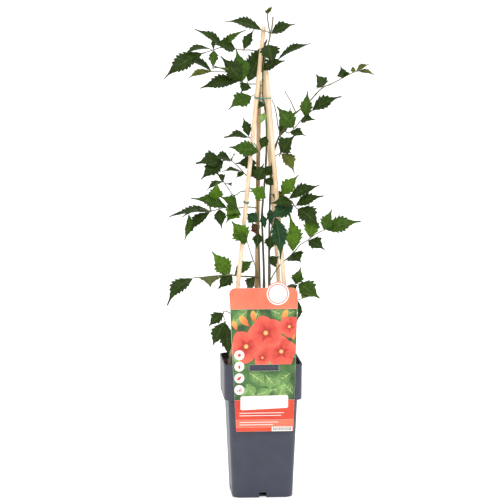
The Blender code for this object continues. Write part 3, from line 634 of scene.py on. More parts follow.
@dataclass(frozen=True)
class LeafBlade(Finish):
    """Leaflets: living leaf under a thin wax, with a paler underside and sunken side veins.

    The green of each leaflet comes with its mesh.  Midrib and side veins show a little paler,
    and the blade swells between them, which breaks the soft shine.
    """

    name: str = "living_leaf"
    rough: float = 0.52
    ior: float = 1.42
    gloss: float = 0.18
    relief: float = 0.5 * MM
    vein: str = "8fa650"
    underside: str = "6d7f3f"
    vein_count: float = 7.0
    vein_lean: float = 0.12
    vein_width: float = 0.10
    rib_width: float = 0.04
    vein_share: float = 0.17
    under_share: float = 0.55
    mottle_mm: float = 6.0
    mottle_range: float = 1.5
    mottle_least: float = 0.22

    def build(self) -> bpy.types.Material:
        """Make the material.

        Returns:
            The material.
        """
        material, tree, shader = self.start()
        tint = add_node(tree, "ShaderNodeAttribute", attribute_name="tint").outputs["Color"]
        along = add_node(tree, "ShaderNodeAttribute", attribute_name="along").outputs["Fac"]
        aside = add_node(tree, "ShaderNodeAttribute", attribute_name="aside").outputs["Fac"]
        under = add_node(tree, "ShaderNodeAttribute", attribute_name="under").outputs["Fac"]

        def math_node(operation: str, first: Any, second: Any = 0.0) -> bpy.types.NodeSocket:
            """Add one arithmetic step of the vein pattern."""
            return add_node(tree, "ShaderNodeMath", {0: first, 1: second},
                            operation=operation).outputs["Value"]

        lean = math_node("MULTIPLY", aside, self.vein_lean)
        row = math_node("MULTIPLY", math_node("SUBTRACT", along, lean), self.vein_count * 2)
        wave = math_node("PINGPONG", row, 1.0)
        side_vein = math_node("LESS_THAN", wave, self.vein_width)
        rib = math_node("LESS_THAN", aside, self.rib_width)
        veins = math_node("MAXIMUM", math_node("MULTIPLY", side_vein, 0.4), rib)
        cloud = add_node(tree, "ShaderNodeTexNoise",
                         {"Vector": self.position(tree), "Scale": 1 / (self.mottle_mm * MM),
                          "Detail": 3.0}).outputs["Fac"]
        shade = math_node("ADD", math_node("MULTIPLY", cloud, self.mottle_range),
                          self.mottle_least)
        mottled = add_node(tree, "ShaderNodeVectorMath", {0: tint, "Scale": shade},
                           operation="SCALE").outputs["Vector"]
        veined = add_node(tree, "ShaderNodeMix",
                          {"Factor": math_node("MULTIPLY", veins, self.vein_share),
                           "A": mottled, "B": linear(self.vein)}, data_type="RGBA")
        sided = add_node(tree, "ShaderNodeMix",
                         {"Factor": math_node("MULTIPLY", under, self.under_share),
                          "A": veined.outputs["Result"], "B": linear(self.underside)},
                         data_type="RGBA")
        tree.links.new(sided.outputs["Result"], shader.inputs["Base Color"])
        relief = math_node("ADD", math_node("MULTIPLY", wave, 0.7),
                           math_node("MULTIPLY", cloud, 0.5))
        self.bump(tree, shader, relief)
        return material


@dataclass(frozen=True)
class YoungBark(Finish):
    """Stems: thin bark, brown and fibrous on old canes, pinkish green on young shoots."""

    name: str = "young_bark"
    rough: float = 0.6
    relief: float = 0.2 * MM
    streak_mm: float = 1.2
    ages: Tuple[Tuple[float, str], ...] = ((0.05, "85756a"), (0.35, "666a38"),
                                           (0.65, "585630"), (0.95, "463c28"))

    def build(self) -> bpy.types.Material:
        """Make the material.

        Returns:
            The material.
        """
        material, tree, shader = self.start()
        age = add_node(tree, "ShaderNodeAttribute", attribute_name="age").outputs["Fac"]
        point = self.position(tree)
        streaks = add_node(tree, "ShaderNodeTexNoise",
                           {"Vector": point, "Scale": 1 / (self.streak_mm * MM), "Detail": 3.0})
        blend = add_node(tree, "ShaderNodeMath", {0: age, 1: streaks.outputs["Fac"]},
                         operation="ADD")
        shifted = add_node(tree, "ShaderNodeMath", {0: blend.outputs["Value"], 1: 0.5},
                           operation="SUBTRACT")
        colour = add_node(tree, "ShaderNodeValToRGB", {"Fac": shifted.outputs["Value"]})
        tree.links.new(set_stops(colour, self.ages), shader.inputs["Base Color"])
        self.bump(tree, shader, streaks.outputs["Fac"])
        return material


@dataclass(frozen=True)
class PrintedCard(Finish):
    """Label: polypropylene sheet, offset printed and varnished, flat colour with a light gloss.

    Args:
        low: hex colour of the print where its cloud is thin.
        high: hex colour where it is full.
        cloud_mm: size of the colour's soft drift.
        shaded: whether the colour also follows the depth value of the printed shape.
    """

    name: str = "printed_card"
    rough: float = 0.32
    low: str = "f4f2ef"
    high: str = "ffffff"
    cloud_mm: float = 60.0
    shaded: bool = False
    depth_gain: float = 1.7

    def build(self) -> bpy.types.Material:
        """Make the material.

        Returns:
            The material.
        """
        material, tree, shader = self.start()
        cloud = add_node(tree, "ShaderNodeTexNoise",
                         {"Vector": self.position(tree), "Scale": 1 / (self.cloud_mm * MM),
                          "Detail": 4.0}).outputs["Fac"]
        if self.shaded:
            depth = add_node(tree, "ShaderNodeAttribute", attribute_name="depth").outputs["Fac"]
            cloud = add_node(tree, "ShaderNodeMath", {0: depth, 1: cloud}, operation="MULTIPLY")
            cloud = add_node(tree, "ShaderNodeMath", {0: cloud.outputs["Value"],
                                                      1: self.depth_gain},
                             operation="MULTIPLY").outputs["Value"]
        colour = add_node(tree, "ShaderNodeValToRGB", {"Fac": cloud})
        ends = (0.05, 0.85) if self.shaded else (0.35, 0.65)
        tree.links.new(set_stops(colour, ((ends[0], self.low), (ends[1], self.high))),
                       shader.inputs["Base Color"])
        return material


class Mesh:
    """A mesh in the making, with point attributes, which becomes one named piece."""

    def __init__(self, name: str) -> None:
        """Start an empty mesh.

        Args:
            name: the piece's name.
        """
        self.name = name
        self.points: List[Vector] = []
        self.faces: List[Tuple[int, ...]] = []
        self.values: Dict[str, List[float]] = {}
        self.tints: List[Tuple[float, ...]] = []

    def add(self, points: Iterable[Vector], faces: Iterable[Sequence[int]],
            tint: Optional[Tuple[float, ...]] = None, **values: Sequence[float]) -> None:
        """Add points and faces, and the attributes of the points.

        Args:
            points: new points.
            faces: faces whose numbers count from the first new point.
            tint: one linear colour for all the new points.
            values: one number for each new point, for each named attribute.
        """
        first = len(self.points)
        self.points.extend(points)
        self.faces.extend(tuple(first + i for i in face) for face in faces)
        for key, numbers in values.items():
            self.values.setdefault(key, []).extend(numbers)
        if tint is not None:
            self.tints.extend([tint] * (len(self.points) - first))

    def piece(self, materials: Sequence[bpy.types.Material], slot: str,
              node: Optional[str] = None, smooth_angle: float = 40.0) -> bpy.types.Object:
        """Make the object, let it ride on the body and stand for its node.

        Args:
            materials: the piece's materials.
            slot: the record's material slot, which is not used.
            node: the node that it replaces, if it does.
            smooth_angle: edges sharper than this stay sharp, in degrees.

        Returns:
            The object.
        """
        mesh = bpy.data.meshes.new(self.name)
        mesh.from_pydata([tuple(p) for p in self.points], [], self.faces)
        for key, numbers in self.values.items():
            attribute = mesh.attributes.new(key, "FLOAT", "POINT")
            attribute.data.foreach_set("value", np.asarray(numbers, np.float32))
        if self.tints:
            attribute = mesh.attributes.new("tint", "FLOAT_COLOR", "POINT")
            attribute.data.foreach_set("color", np.asarray(self.tints, np.float32).ravel())
        shape = bmesh.new()
        shape.from_mesh(mesh)
        bmesh.ops.recalc_face_normals(shape, faces=shape.faces)
        shape.to_mesh(mesh)
        shape.free()
        mesh.shade_smooth()
        mesh.set_sharp_from_angle(angle=math.radians(smooth_angle))
        thing = bpy.data.objects.new(self.name, mesh)
        bpy.context.scene.collection.objects.link(thing)
        for material in materials:
            mesh.materials.append(material)
        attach(thing, BODY)
        if node:
            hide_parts(node)
        LOG.info("%s: %d faces", self.name, len(mesh.polygons))
        return thing


@dataclass(frozen=True)
class Sketch:
    """The front sketch that the plant was drawn in, and the eye that it was drawn from."""

    square: float = 1.5 * MM
    middle: Point2 = (250.0, 250.0)
    eye: Point3 = (-15.8 * MM, -3.0, 715.5 * MM)
    look_down: float = 6.6
    distance: float = 3.02
    turn: float = -4.3

    def turned(self, point: Sequence[float]) -> Vector:
        """Turn a point of the plant about the pot's axis."""
        return Matrix.Rotation(math.radians(self.turn), 3, "Z") @ Vector(point)

    def place(self, across: float, down: float, away: float) -> Vector:
        """Find the point that a sketch point shows.

        Args:
            across: squares from the sketch's left edge.
            down: squares from its top edge.
            away: millimetres behind the pot's axis.

        Returns:
            The point in the frame.
        """
        step = self.square / self.distance
        side, rise = (across - self.middle[0]) * step, (self.middle[1] - down) * step
        sine, cosine = math.sin(math.radians(self.look_down)), math.cos(math.radians(self.look_down))
        ray = Vector((side, cosine + rise * sine, -sine + rise * cosine))
        return self.turned(Vector(self.eye) + ray * ((away * MM - self.eye[1]) / ray.y))


def smooth_route(points: Sequence[Vector], steps: int) -> List[Vector]:
    """Read points from a smooth curve through a route.

    Args:
        points: the route.
        steps: points for each stretch.

    Returns:
        The curve's points.
    """
    padded = [points[0] * 2 - points[1], *points, points[-1] * 2 - points[-2]]
    curve = []
    for i in range(1, len(padded) - 2):
        a, b, c, d = padded[i - 1:i + 3]
        for k in range(steps):
            t = k / steps
            curve.append(0.5 * ((2 * b) + (c - a) * t + (2 * a - 5 * b + 4 * c - d) * t ** 2
                                + (3 * b - a - 3 * c + d) * t ** 3))
    return curve + [points[-1]]


def sweep(points: Sequence[Vector], radii: Sequence[float], sides: int
          ) -> Tuple[List[Vector], List[Tuple[int, ...]]]:
    """Sweep a round section along points.

    Args:
        points: the middle line.
        radii: the radius at each point.
        sides: sides of the section.

    Returns:
        Points and faces, with filled ends.
    """
    count, corners, faces = len(points), [], []
    normal: Optional[Vector] = None
    for i, point in enumerate(points):
        along = (points[min(i + 1, count - 1)] - points[max(i - 1, 0)]).normalized()
        normal = along.orthogonal() if normal is None else normal
        normal = (normal - along * normal.dot(along)).normalized()
        across = along.cross(normal)
        for k in range(sides):
            angle = 2 * math.pi * k / sides
            corners.append(point + (normal * math.cos(angle) + across * math.sin(angle)) * radii[i])
    for i in range(count - 1):
        low, high = i * sides, (i + 1) * sides
        for k in range(sides):
            faces.append((low + k, low + (k + 1) % sides, high + (k + 1) % sides, high + k))
    faces.append(tuple(range(sides))[::-1])
    faces.append(tuple(range((count - 1) * sides, count * sides)))
    return corners, faces


@dataclass
class Leaflet:
    """The fine form of one leaflet: toothed edge, folded and arched blade, long thin tip."""

    sketch: Sketch
    leaf: Leaf
    base: Vector
    depth: float
    number: int
    fold: float = 0.32
    thickness: float = 0.4 * MM
    stalk_end: float = 0.05
    stalk_half: float = 0.6 * MM
    teeth_from: float = 0.12
    teeth_to: float = 0.76
    tooth_length: float = 6.6 * MM
    notch: float = 0.77
    slant: float = 0.10
    ridge: float = 0.08
    swell_rise: float = 0.22 * MM
    twist: float = 16.0
    wave_seed: int = 1000
    across_steps: int = 4
    outline: Tuple[Point2, ...] = (
        (0.05, 0.05), (0.075, 0.28), (0.12, 0.55), (0.18, 0.80), (0.26, 1.02), (0.35, 1.16),
        (0.44, 1.16), (0.53, 1.02), (0.62, 0.78), (0.70, 0.50), (0.78, 0.25), (0.87, 0.12),
        (1.0, 0.05),
    )

    def stations(self, length: float) -> List[Tuple[float, float, float]]:
        """Set the stations along the blade, with the notches of its teeth.

        Args:
            length: the leaflet's length in metres.

        Returns:
            Share of the length, share of half the width and swell between veins at each station.
        """
        outline = np.array(self.outline)
        rng = np.random.default_rng(self.number)
        teeth = max(2, min(7, round(length * (self.teeth_to - self.teeth_from)
                                    / self.tooth_length)))
        pitch = (self.teeth_to - self.teeth_from) / teeth
        found = [(0.0, 0.0, 0.0), (0.025, 0.0, 0.0), (self.stalk_end, 0.0, 0.0),
                 (0.075, 0.28, 0.0), (0.1, 0.44, 0.5)]
        for k in range(teeth):
            start = self.teeth_from + k * pitch
            for part, cut, swell in ((0.0, self.notch, 1.0), (0.5, 0.95, 0.3), (0.86, 1.05, -1.0)):
                share = start + part * pitch
                wide = float(np.interp(share, outline[:, 0], outline[:, 1]))
                found.append((share, wide * cut * (1 + rng.uniform(-0.05, 0.05)), swell))
        for share in (0.775, 0.82, 0.87, 0.92, 0.965):
            found.append((share, float(np.interp(share, outline[:, 0], outline[:, 1])), 0.0))
        return found

    def add_to(self, mesh: Mesh) -> None:
        """Add the leaflet to a leafy stem's mesh.

        Args:
            mesh: the mesh that takes it.
        """
        leaf = self.leaf
        tip = self.sketch.place(*leaf.tip, self.depth + leaf.reach)
        axis = tip - self.base
        length = axis.length
        axis.normalize()
        face, turn = math.radians(leaf.face), math.radians(leaf.turn)
        up = self.sketch.turned((math.sin(turn) * math.sin(face),
                                 -math.cos(turn) * math.sin(face), math.cos(face)))
        up = (up - axis * up.dot(axis)).normalized()
        side = axis.cross(up)
        half = leaf.wide * MM / 2
        ridge = self.ridge * half
        rng = np.random.default_rng(self.wave_seed + self.number)
        wave, phase = rng.uniform(0.02, 0.06) * half, rng.uniform(0, 2 * math.pi)
        twist = math.radians(rng.uniform(-self.twist, self.twist))
        steps = self.across_steps
        top, along, aside = [], [], []
        for share, wide, swell in self.stations(length):
            reach = max(wide * half, self.stalk_half * (1 - 0.6 * share))
            turn_here = Matrix.Rotation(twist * (share - 0.3), 3, axis)
            slant = self.slant * wide * (1 - share)
            for k in range(-steps, steps + 1):
                out = k / steps
                across = out * reach
                forward = share + slant * abs(out)
                rounded = math.sqrt(across * across + ridge ** 2) - ridge
                lift = (leaf.arch * length * 4 * forward * (1 - forward) + self.fold * rounded
                        + wave * math.sin(9 * share + phase + k) * out * out * 2
                        + self.swell_rise * swell * math.sin(math.pi * abs(out)))
                top.append(self.base + axis * (forward * length)
                           + turn_here @ (side * across + up * lift))
                along.append(forward)
                aside.append(abs(out) if wide > 0.02 else 0.5)
        row = 2 * steps + 1
        rows = len(top) // row
        end = self.base + axis * length
        flat = [p - up * self.thickness for p in top]
        faces = []
        for i in range(rows - 1):
            for k in range(row - 1):
                a, b = i * row + k, (i + 1) * row + k
                faces.append((a, a + 1, b + 1, b))
        top_count = len(top)
        last = (rows - 1) * row
        tip_index = 2 * top_count
        lower = [tuple(top_count + i for i in reversed(f)) for f in faces]
        rim = []
        for i in range(rows - 1):
            for k in (0, row - 1):
                a, b = i * row + k, (i + 1) * row + k
                quad = (a, b, top_count + b, top_count + a)
                rim.append(quad if k == 0 else quad[::-1])
        for k in range(row - 1):
            rim.append((k, top_count + k, top_count + k + 1, k + 1))
            rim.append((last + k, last + k + 1, tip_index))
            rim.append((top_count + last + k + 1, top_count + last + k, tip_index))
        rim.append((last, tip_index, top_count + last))
        rim.append((last + row - 1, top_count + last + row - 1, tip_index))
        mesh.add(top + flat + [end], faces + lower + rim, linear(leaf.tone.value),
                 along=along + along + [1.0], aside=aside + aside + [0.0],
                 under=[0.0] * top_count + [1.0] * top_count + [0.5])


@dataclass
class LeafyStem:
    """One leafy stem: its smooth canes and stalks, and its fine leaflets."""

    plant: Plant
    sketch: Sketch
    bark: bpy.types.Material
    blade: bpy.types.Material
    first_number: int
    soil_level: float = 196 * MM
    stem_foot: float = 150 * MM
    steps: int = 5
    sides: int = 9
    swell: float = 0.35
    slim: float = 0.92
    young_age: float = 0.45
    age_loss: float = 0.8

    def nearest(self, root: Point2) -> Vector:
        """Find where a leaf grows from.

        Args:
            root: the leaf's root on the sketch.

        Returns:
            The nearest sketch point of the stem's runs.
        """
        best, found = math.inf, Vector()
        for run in self.plant.runs:
            for a, b in zip(run.route, run.route[1:]):
                start, way = Vector(a[:2]), Vector(b[:2]) - Vector(a[:2])
                share = (Vector(root) - start).dot(way) / max(way.length_squared, 1e-9)
                share = min(1.0, max(0.0, share))
                miss = (start + way * share - Vector(root)).length
                if miss < best:
                    best, found = miss, Vector(a) + (Vector(b) - Vector(a)) * share
        return found

    def build_canes(self) -> None:
        """Sweep the canes, rachises and stalks, with a swelling at each joint."""
        mesh = Mesh(self.plant.node + "_canes")
        for number, run in enumerate(self.plant.runs):
            points = [self.sketch.place(*p) for p in run.route]
            if number == 0:
                foot = Vector((points[0].x, points[0].y, self.stem_foot))
                level = Vector((points[0].x, points[0].y, self.soil_level))
                points = [foot, level] + points[1:]
            curve = smooth_route(points, self.steps)
            old = 1.0 if number == 0 else self.young_age
            radii, ages = [], []
            for i in range(len(curve)):
                share = i / (len(curve) - 1)
                radius = (run.start + (run.end - run.start) * share) * MM
                joint = 1 + self.swell * (1 if i % (self.steps * 2) == 0 and i else 0)
                radii.append(radius * joint * self.slim)
                ages += [old * (1 - self.age_loss * share)] * self.sides
            mesh.add(*sweep(curve, radii, self.sides), age=ages)
        mesh.piece([self.bark], "leaf")

    def build_leaves(self) -> int:
        """Build the leaflets as one piece, which stands for the stem's node.

        Returns:
            How many leaflets there are.
        """
        mesh = Mesh(self.plant.node + "_leaflets")
        for number, leaf in enumerate(self.plant.leaves):
            start = self.nearest(leaf.root)
            base = self.sketch.place(*start)
            Leaflet(self.sketch, leaf, base, start.z, self.first_number + number).add_to(mesh)
        mesh.piece([self.blade], "leaf", self.plant.node, 75.0)
        return len(self.plant.leaves)


@dataclass
class Pot:
    """The nursery pot: body, collar, rim bead, floor and drain notches."""

    skin: bpy.types.Material
    base_half: float = 45.5 * MM
    neck_half: float = 52 * MM
    collar_low: float = 58 * MM
    collar_top: float = 58.8 * MM
    height: float = 204 * MM
    collar: float = 54 * MM
    wall: float = 1.8 * MM
    floor: float = 2.5 * MM
    corner: float = 12 * MM
    notch: Point3 = (11 * MM, 8 * MM, 9 * MM)
    past: float = 4 * MM
    steps: int = 10
    flat_steps: int = 6

    def ring(self, half: float, z: float, radius: float, bow: float = 0.0) -> List[Vector]:
        """Lay out a square ring with round corners.

        Args:
            half: half its width.
            z: its height.
            radius: radius of its corners.
            bow: how far the middle of each side is bowed in.

        Returns:
            Its points.
        """
        points = []
        for quarter in range(4):
            spin = Matrix.Rotation(math.pi / 2 * quarter, 3, "Z")
            for k in range(self.flat_steps):
                share = -1 + 2 * k / self.flat_steps
                points.append(spin @ Vector((half - bow * (1 - share * share),
                                             share * (half - radius), z)))
            for k in range(self.steps):
                angle = math.pi / 2 * k / self.steps
                points.append(spin @ Vector((half - radius + radius * math.cos(angle),
                                             half - radius + radius * math.sin(angle), z)))
        return points

    def profile(self) -> List[Tuple[float, float, float, float]]:
        """Lay out the shell's rings, outside up and inside down.

        Returns:
            Half width, height, corner radius and bow of each ring.
        """
        under = self.height - self.collar
        inner = self.corner - self.wall
        body = [(self.base_half - 1.5 * MM, 0.0, self.corner, 0.0),
                (self.base_half - 0.4 * MM, 0.5 * MM, self.corner, 0.0),
                (self.base_half, 1.8 * MM, self.corner, 0.0)]
        for k in range(1, 9):
            share = k / 8
            body.append((self.base_half + (self.neck_half - self.base_half) * share,
                         1.8 * MM + (under - 3.2 * MM) * share, self.corner,
                         0.7 * MM * math.sin(math.pi * share)))
        collar = [(self.neck_half + 0.5 * MM, under - 0.8 * MM, self.corner, 0.0),
                  (self.collar_low - 0.9 * MM, under - 0.1 * MM, self.corner, 0.0),
                  (self.collar_low - 0.2 * MM, under + 0.4 * MM, self.corner, 0.0),
                  (self.collar_low, under + 1.4 * MM, self.corner, 0.0)]
        for k in range(1, 5):
            share = k / 4
            collar.append((self.collar_low + (self.collar_top - self.collar_low - 0.5 * MM) * share,
                           under + 1.4 * MM + (self.collar - 5.4 * MM) * share, self.corner,
                           0.4 * MM * math.sin(math.pi * share)))
        rim = [(self.collar_top, self.height - 3.2 * MM, self.corner, 0.0),
               (self.collar_top, self.height - 0.8 * MM, self.corner, 0.0),
               (self.collar_top - 0.25 * MM, self.height - 0.2 * MM, self.corner, 0.0),
               (self.collar_top - 0.7 * MM, self.height, self.corner, 0.0),
               (self.collar_top - self.wall + 0.3 * MM, self.height, inner, 0.0),
               (self.collar_top - self.wall, self.height - 0.4 * MM, inner, 0.0)]
        inside = [(self.collar_low - self.wall, under + self.wall, inner, 0.0),
                  (self.neck_half - self.wall, under + 0.6 * MM, inner, 0.0),
                  (self.base_half - self.wall + 0.2 * MM, self.floor, inner, 0.0)]
        return body + collar + rim + inside

    def build(self) -> None:
        """Build the pot's shell as one loft, outside up and inside down."""
        mesh = Mesh("pot_shell")
        rings = [self.ring(*row) for row in self.profile()]
        count = len(rings[0])
        faces: List[Tuple[int, ...]] = [tuple(range(count))[::-1]]
        for i in range(len(rings) - 1):
            for k in range(count):
                a, b = i * count, (i + 1) * count
                faces.append((a + k, a + (k + 1) % count, b + (k + 1) % count, b + k))
        faces.append(tuple(range((len(rings) - 1) * count, len(rings) * count)))
        mesh.add([p for ring in rings for p in ring], faces)
        self.cut_notches(mesh.piece([self.skin], "pot_plastic", "pot", 32.0))

    def cut_notches(self, pot: bpy.types.Object) -> None:
        """Cut a drain notch in the foot of each side.

        Args:
            pot: the finished shell.
        """
        wide, high, deep = self.notch
        corners = [(x, y, z) for x in (-wide / 2, wide / 2)
                   for y in (self.base_half - deep, self.base_half + self.past)
                   for z in (-1 * MM, high)]
        sides = ((0, 1, 3, 2), (4, 6, 7, 5), (0, 4, 5, 1), (2, 3, 7, 6), (0, 2, 6, 4),
                 (1, 5, 7, 3))
        for quarter in range(4):
            block = bpy.data.objects.new("notch_cutter", bpy.data.meshes.new("notch_cutter"))
            block.data.from_pydata(corners, [], sides)
            bpy.context.scene.collection.objects.link(block)
            block.matrix_world = Matrix.Rotation(math.pi / 2 * quarter, 4, "Z")
            cut = pot.modifiers.new("notch", "BOOLEAN")
            cut.operation = "DIFFERENCE"
            cut.object = block
            bpy.context.view_layer.update()
            graph = bpy.context.evaluated_depsgraph_get()
            made = bpy.data.meshes.new_from_object(pot.evaluated_get(graph), depsgraph=graph)
            pot.modifiers.remove(cut)
            pot.data = made
            bpy.data.objects.remove(block, do_unlink=True)


@dataclass
class Soil:
    """The soil: a lumpy top with loose crumbs and chips, and plain sides in the pot."""

    mix: bpy.types.Material
    half: float = 56.3 * MM
    level: float = 195 * MM
    neck: float = 152 * MM
    neck_share: float = 0.86
    foot: float = 10.5 * MM
    foot_share: float = 0.75
    round_off: float = 0.052
    cells: int = 54
    crumbs: int = 420
    crumb_spread: float = 0.93
    seed: int = 5

    def height(self, x: float, y: float) -> float:
        """Height of the soil's top at a place."""
        point = Vector((x, y, 0))
        rough = noise.fractal(point * 60, 0.9, 2.1, 4) * 1.6 * MM
        return self.level + rough + noise.noise(point * 260) * 0.8 * MM

    def build(self) -> None:
        """Build the top, the sides and the crumbs."""
        mesh = Mesh("soil_surface")
        cells = self.cells
        grid = []
        for i in range(cells + 1):
            for k in range(cells + 1):
                x, y = (-1 + 2 * i / cells), (-1 + 2 * k / cells)
                edge = max(abs(x), abs(y))
                bulge = 1 - self.round_off * (min(abs(x), abs(y)) ** 6) * edge
                x, y = x * self.half * bulge, y * self.half * bulge
                grid.append(Vector((x, y, self.height(x, y))))
        faces = [(i * (cells + 1) + k, (i + 1) * (cells + 1) + k, (i + 1) * (cells + 1) + k + 1,
                  i * (cells + 1) + k + 1) for i in range(cells) for k in range(cells)]
        border = ([i * (cells + 1) for i in range(cells)]
                  + [cells * (cells + 1) + k for k in range(cells)]
                  + [i * (cells + 1) + cells for i in range(cells, 0, -1)]
                  + [k for k in range(cells, 0, -1)])
        low, deep = ([Vector((grid[i].x * share, grid[i].y * share, z)) for i in border]
                     for share, z in ((self.neck_share, self.neck), (self.foot_share, self.foot)))
        first, count = len(grid), len(border)
        for k in range(count):
            after = (k + 1) % count
            faces.append((border[k], border[after], first + after, first + k))
            faces.append((first + k, first + after, first + count + after, first + count + k))
        faces.append(tuple(first + count + k for k in range(count)))
        mesh.add(grid + low + deep, faces)
        rng = np.random.default_rng(self.seed)
        for _ in range(self.crumbs):
            x, y = rng.uniform(-self.crumb_spread, self.crumb_spread, 2) * self.half
            size = rng.uniform(0.7, 2.4) * MM
            stretch = rng.uniform(0.6, 2.2)
            corners = []
            for point in ((1, 0, 0), (-1, 0, 0), (0, 1, 0), (0, -1, 0), (0, 0, 1), (0, 0, -1)):
                jolt = Vector(rng.uniform(-0.35, 0.35, 3))
                corners.append((Vector(point) + jolt) * size)
                corners[-1].x *= stretch
            spin = Matrix.Rotation(rng.uniform(0, math.tau), 3, "Z")
            centre = Vector((x, y, self.height(x, y) + size * 0.3))
            mesh.add([centre + spin @ c for c in corners],
                     ((0, 2, 4), (2, 1, 4), (1, 3, 4), (3, 0, 4), (2, 0, 5), (1, 2, 5), (3, 1, 5),
                      (0, 3, 5)))
        mesh.piece([self.mix], "soil", "soil", 60.0)


@dataclass(frozen=True)
class Stake:
    """One stake of the plan: soil point, top and foot, in millimetres in the plant's turn."""

    node: str
    foot: Point3
    soil: Point3
    top: Point3
    # Painted shade: a shaded stake takes a darker copy of the bamboo.
    shaded: bool = False


STAKES = (
    Stake("stake_front_left", (-24, -33, 42), (-47, -38, 188), (4.5, -4, 701.5)),
    Stake("stake_front_right", (33, -34, 42), (46, -38, 188), (8.7, -1, 635.5)),
    Stake("stake_back_left", (-7, 33, 42), (-7, 38, 188), (-2.2, 6.1, 621.5), True),
    Stake("stake_back_right", (30, 33, 42), (37, 38, 188), (3.8, 13, 649.5)),
)


@dataclass
class Support:
    """The four stakes and their ties."""

    sketch: Sketch
    plain_bamboo: bpy.types.Material
    # The darker copy of the bamboo, a painted shade for the shaded stake.
    shaded_bamboo: bpy.types.Material
    wire: bpy.types.Material
    radius: float = 3.4 * MM
    wire_radius: float = 0.65 * MM
    tie_height: float = 597 * MM
    ring_height: float = 442 * MM
    sides: int = 20
    rings: int = 46
    turn_steps: int = 48
    twist_steps: int = 33

    def line(self, stake: Stake) -> List[Vector]:
        """Find a stake's middle line.

        Args:
            stake: the stake.

        Returns:
            Points from its foot to its top.
        """
        foot, soil, top = (self.sketch.turned(Vector(p) * MM)
                           for p in (stake.foot, stake.soil, stake.top))
        return [foot, soil + (foot - soil) * 0.34, soil, soil + (top - soil) * 0.04,
                soil + (top - soil) * 0.5, top]

    def centre(self, stake: Stake, height: float) -> Vector:
        """Where the stake's middle line passes a height above the soil."""
        soil, top = (self.sketch.turned(Vector(p) * MM) for p in (stake.soil, stake.top))
        return soil + (top - soil) * (height - soil.z) / (top.z - soil.z)

    def build_stakes(self) -> None:
        """Build the stakes: a little uneven, with split fibres and cut ends."""
        for number, stake in enumerate(STAKES):
            points = self.line(stake)
            lengths = np.cumsum([0] + [(b - a).length for a, b in zip(points, points[1:])])
            table = np.array([tuple(p) for p in points])
            where = np.linspace(0, lengths[-1], self.rings)
            where[1], where[-2] = lengths[-1] * 0.003, lengths[-1] * 0.9985
            curve = [Vector([float(np.interp(w, lengths, table[:, i])) for i in range(3)])
                     for w in where]
            radii = [self.radius * (0.965 + 0.03 * noise.noise(Vector((number * 7, 0, w * 30))))
                     for w in where]
            radii[0] = radii[-1] = self.radius * 0.82
            corners, faces = sweep(curve, radii, self.sides)
            for i, corner in enumerate(corners):
                axis = curve[i // self.sides]
                flute = noise.noise(Vector((i % self.sides * 1.7, number * 5, corner.z * 4)))
                corners[i] = axis + (corner - axis) * (1 + 0.035 * flute)
            mesh = Mesh(stake.node + "_cane")
            mesh.add(corners, faces)
            # A shaded stake takes the darker copy of the bamboo: painted shade.
            mesh.piece([self.shaded_bamboo if stake.shaded else self.plain_bamboo], "stake_wood", stake.node, 35.0)

    def wrap(self, centres: Sequence[Vector], height: float, climb: float,
             turns: int) -> List[Vector]:
        """A wire's route round stakes: turns laid one above the other.

        Args:
            centres: the stakes' middles at that height.
            height: height of the first turn.
            climb: how far each turn climbs.
            turns: how many turns.

        Returns:
            The route's points.
        """
        stand_off = self.radius + self.wire_radius
        steps = self.turn_steps
        route = []
        for k in range(steps * turns + 1):
            angle = 2 * math.pi * k / steps - 2.2
            out = Vector((math.cos(angle), math.sin(angle), 0))
            centre = max(centres, key=lambda c: c.dot(out))
            z = height + climb * k / steps + 0.5 * MM * math.sin(angle * 2)
            route.append(Vector((centre.x, centre.y, z)) + out * stand_off)
        return route

    def build_ties(self) -> None:
        """Build the upper tie with its twisted loose ends, and the lower ring."""
        centres = [self.centre(stake, self.tie_height) for stake in STAKES]
        route = self.wrap(centres, self.tie_height - 1.2 * MM, 2.0 * MM, 1)
        mesh = Mesh("tie_upper_wire")
        mesh.add(*sweep(route, [self.wire_radius] * len(route), 8))
        start = route[0]
        for sign in (0.0, math.pi):
            twist = []
            for k in range(self.twist_steps + 1):
                share = k / self.twist_steps
                angle = share * 4 * math.tau + sign
                spread = 0.55 * MM + max(0.0, share - 0.6) * 9 * MM
                centre = start + Vector((12 * share, -4.5 * math.sin(share * 1.6),
                                         2.5 * share - 9 * share ** 3)) * MM
                twist.append(centre + Vector((0, math.cos(angle), math.sin(angle))) * spread * 0.6)
            mesh.add(*sweep(twist, [self.wire_radius * 0.85] * len(twist), 7))
        mesh.piece([self.wire], "tie_wire", "tie_upper", 60.0)
        ring = Mesh("tie_lower_wire")
        route = self.wrap([self.centre(STAKES[0], self.ring_height)], self.ring_height - 1.2 * MM,
                          1.3 * MM, 2)
        ring.add(*sweep(route, [self.wire_radius * 0.8] * len(route), 7))
        ring.piece([self.wire], "tie_wire", "tie_lower", 60.0)


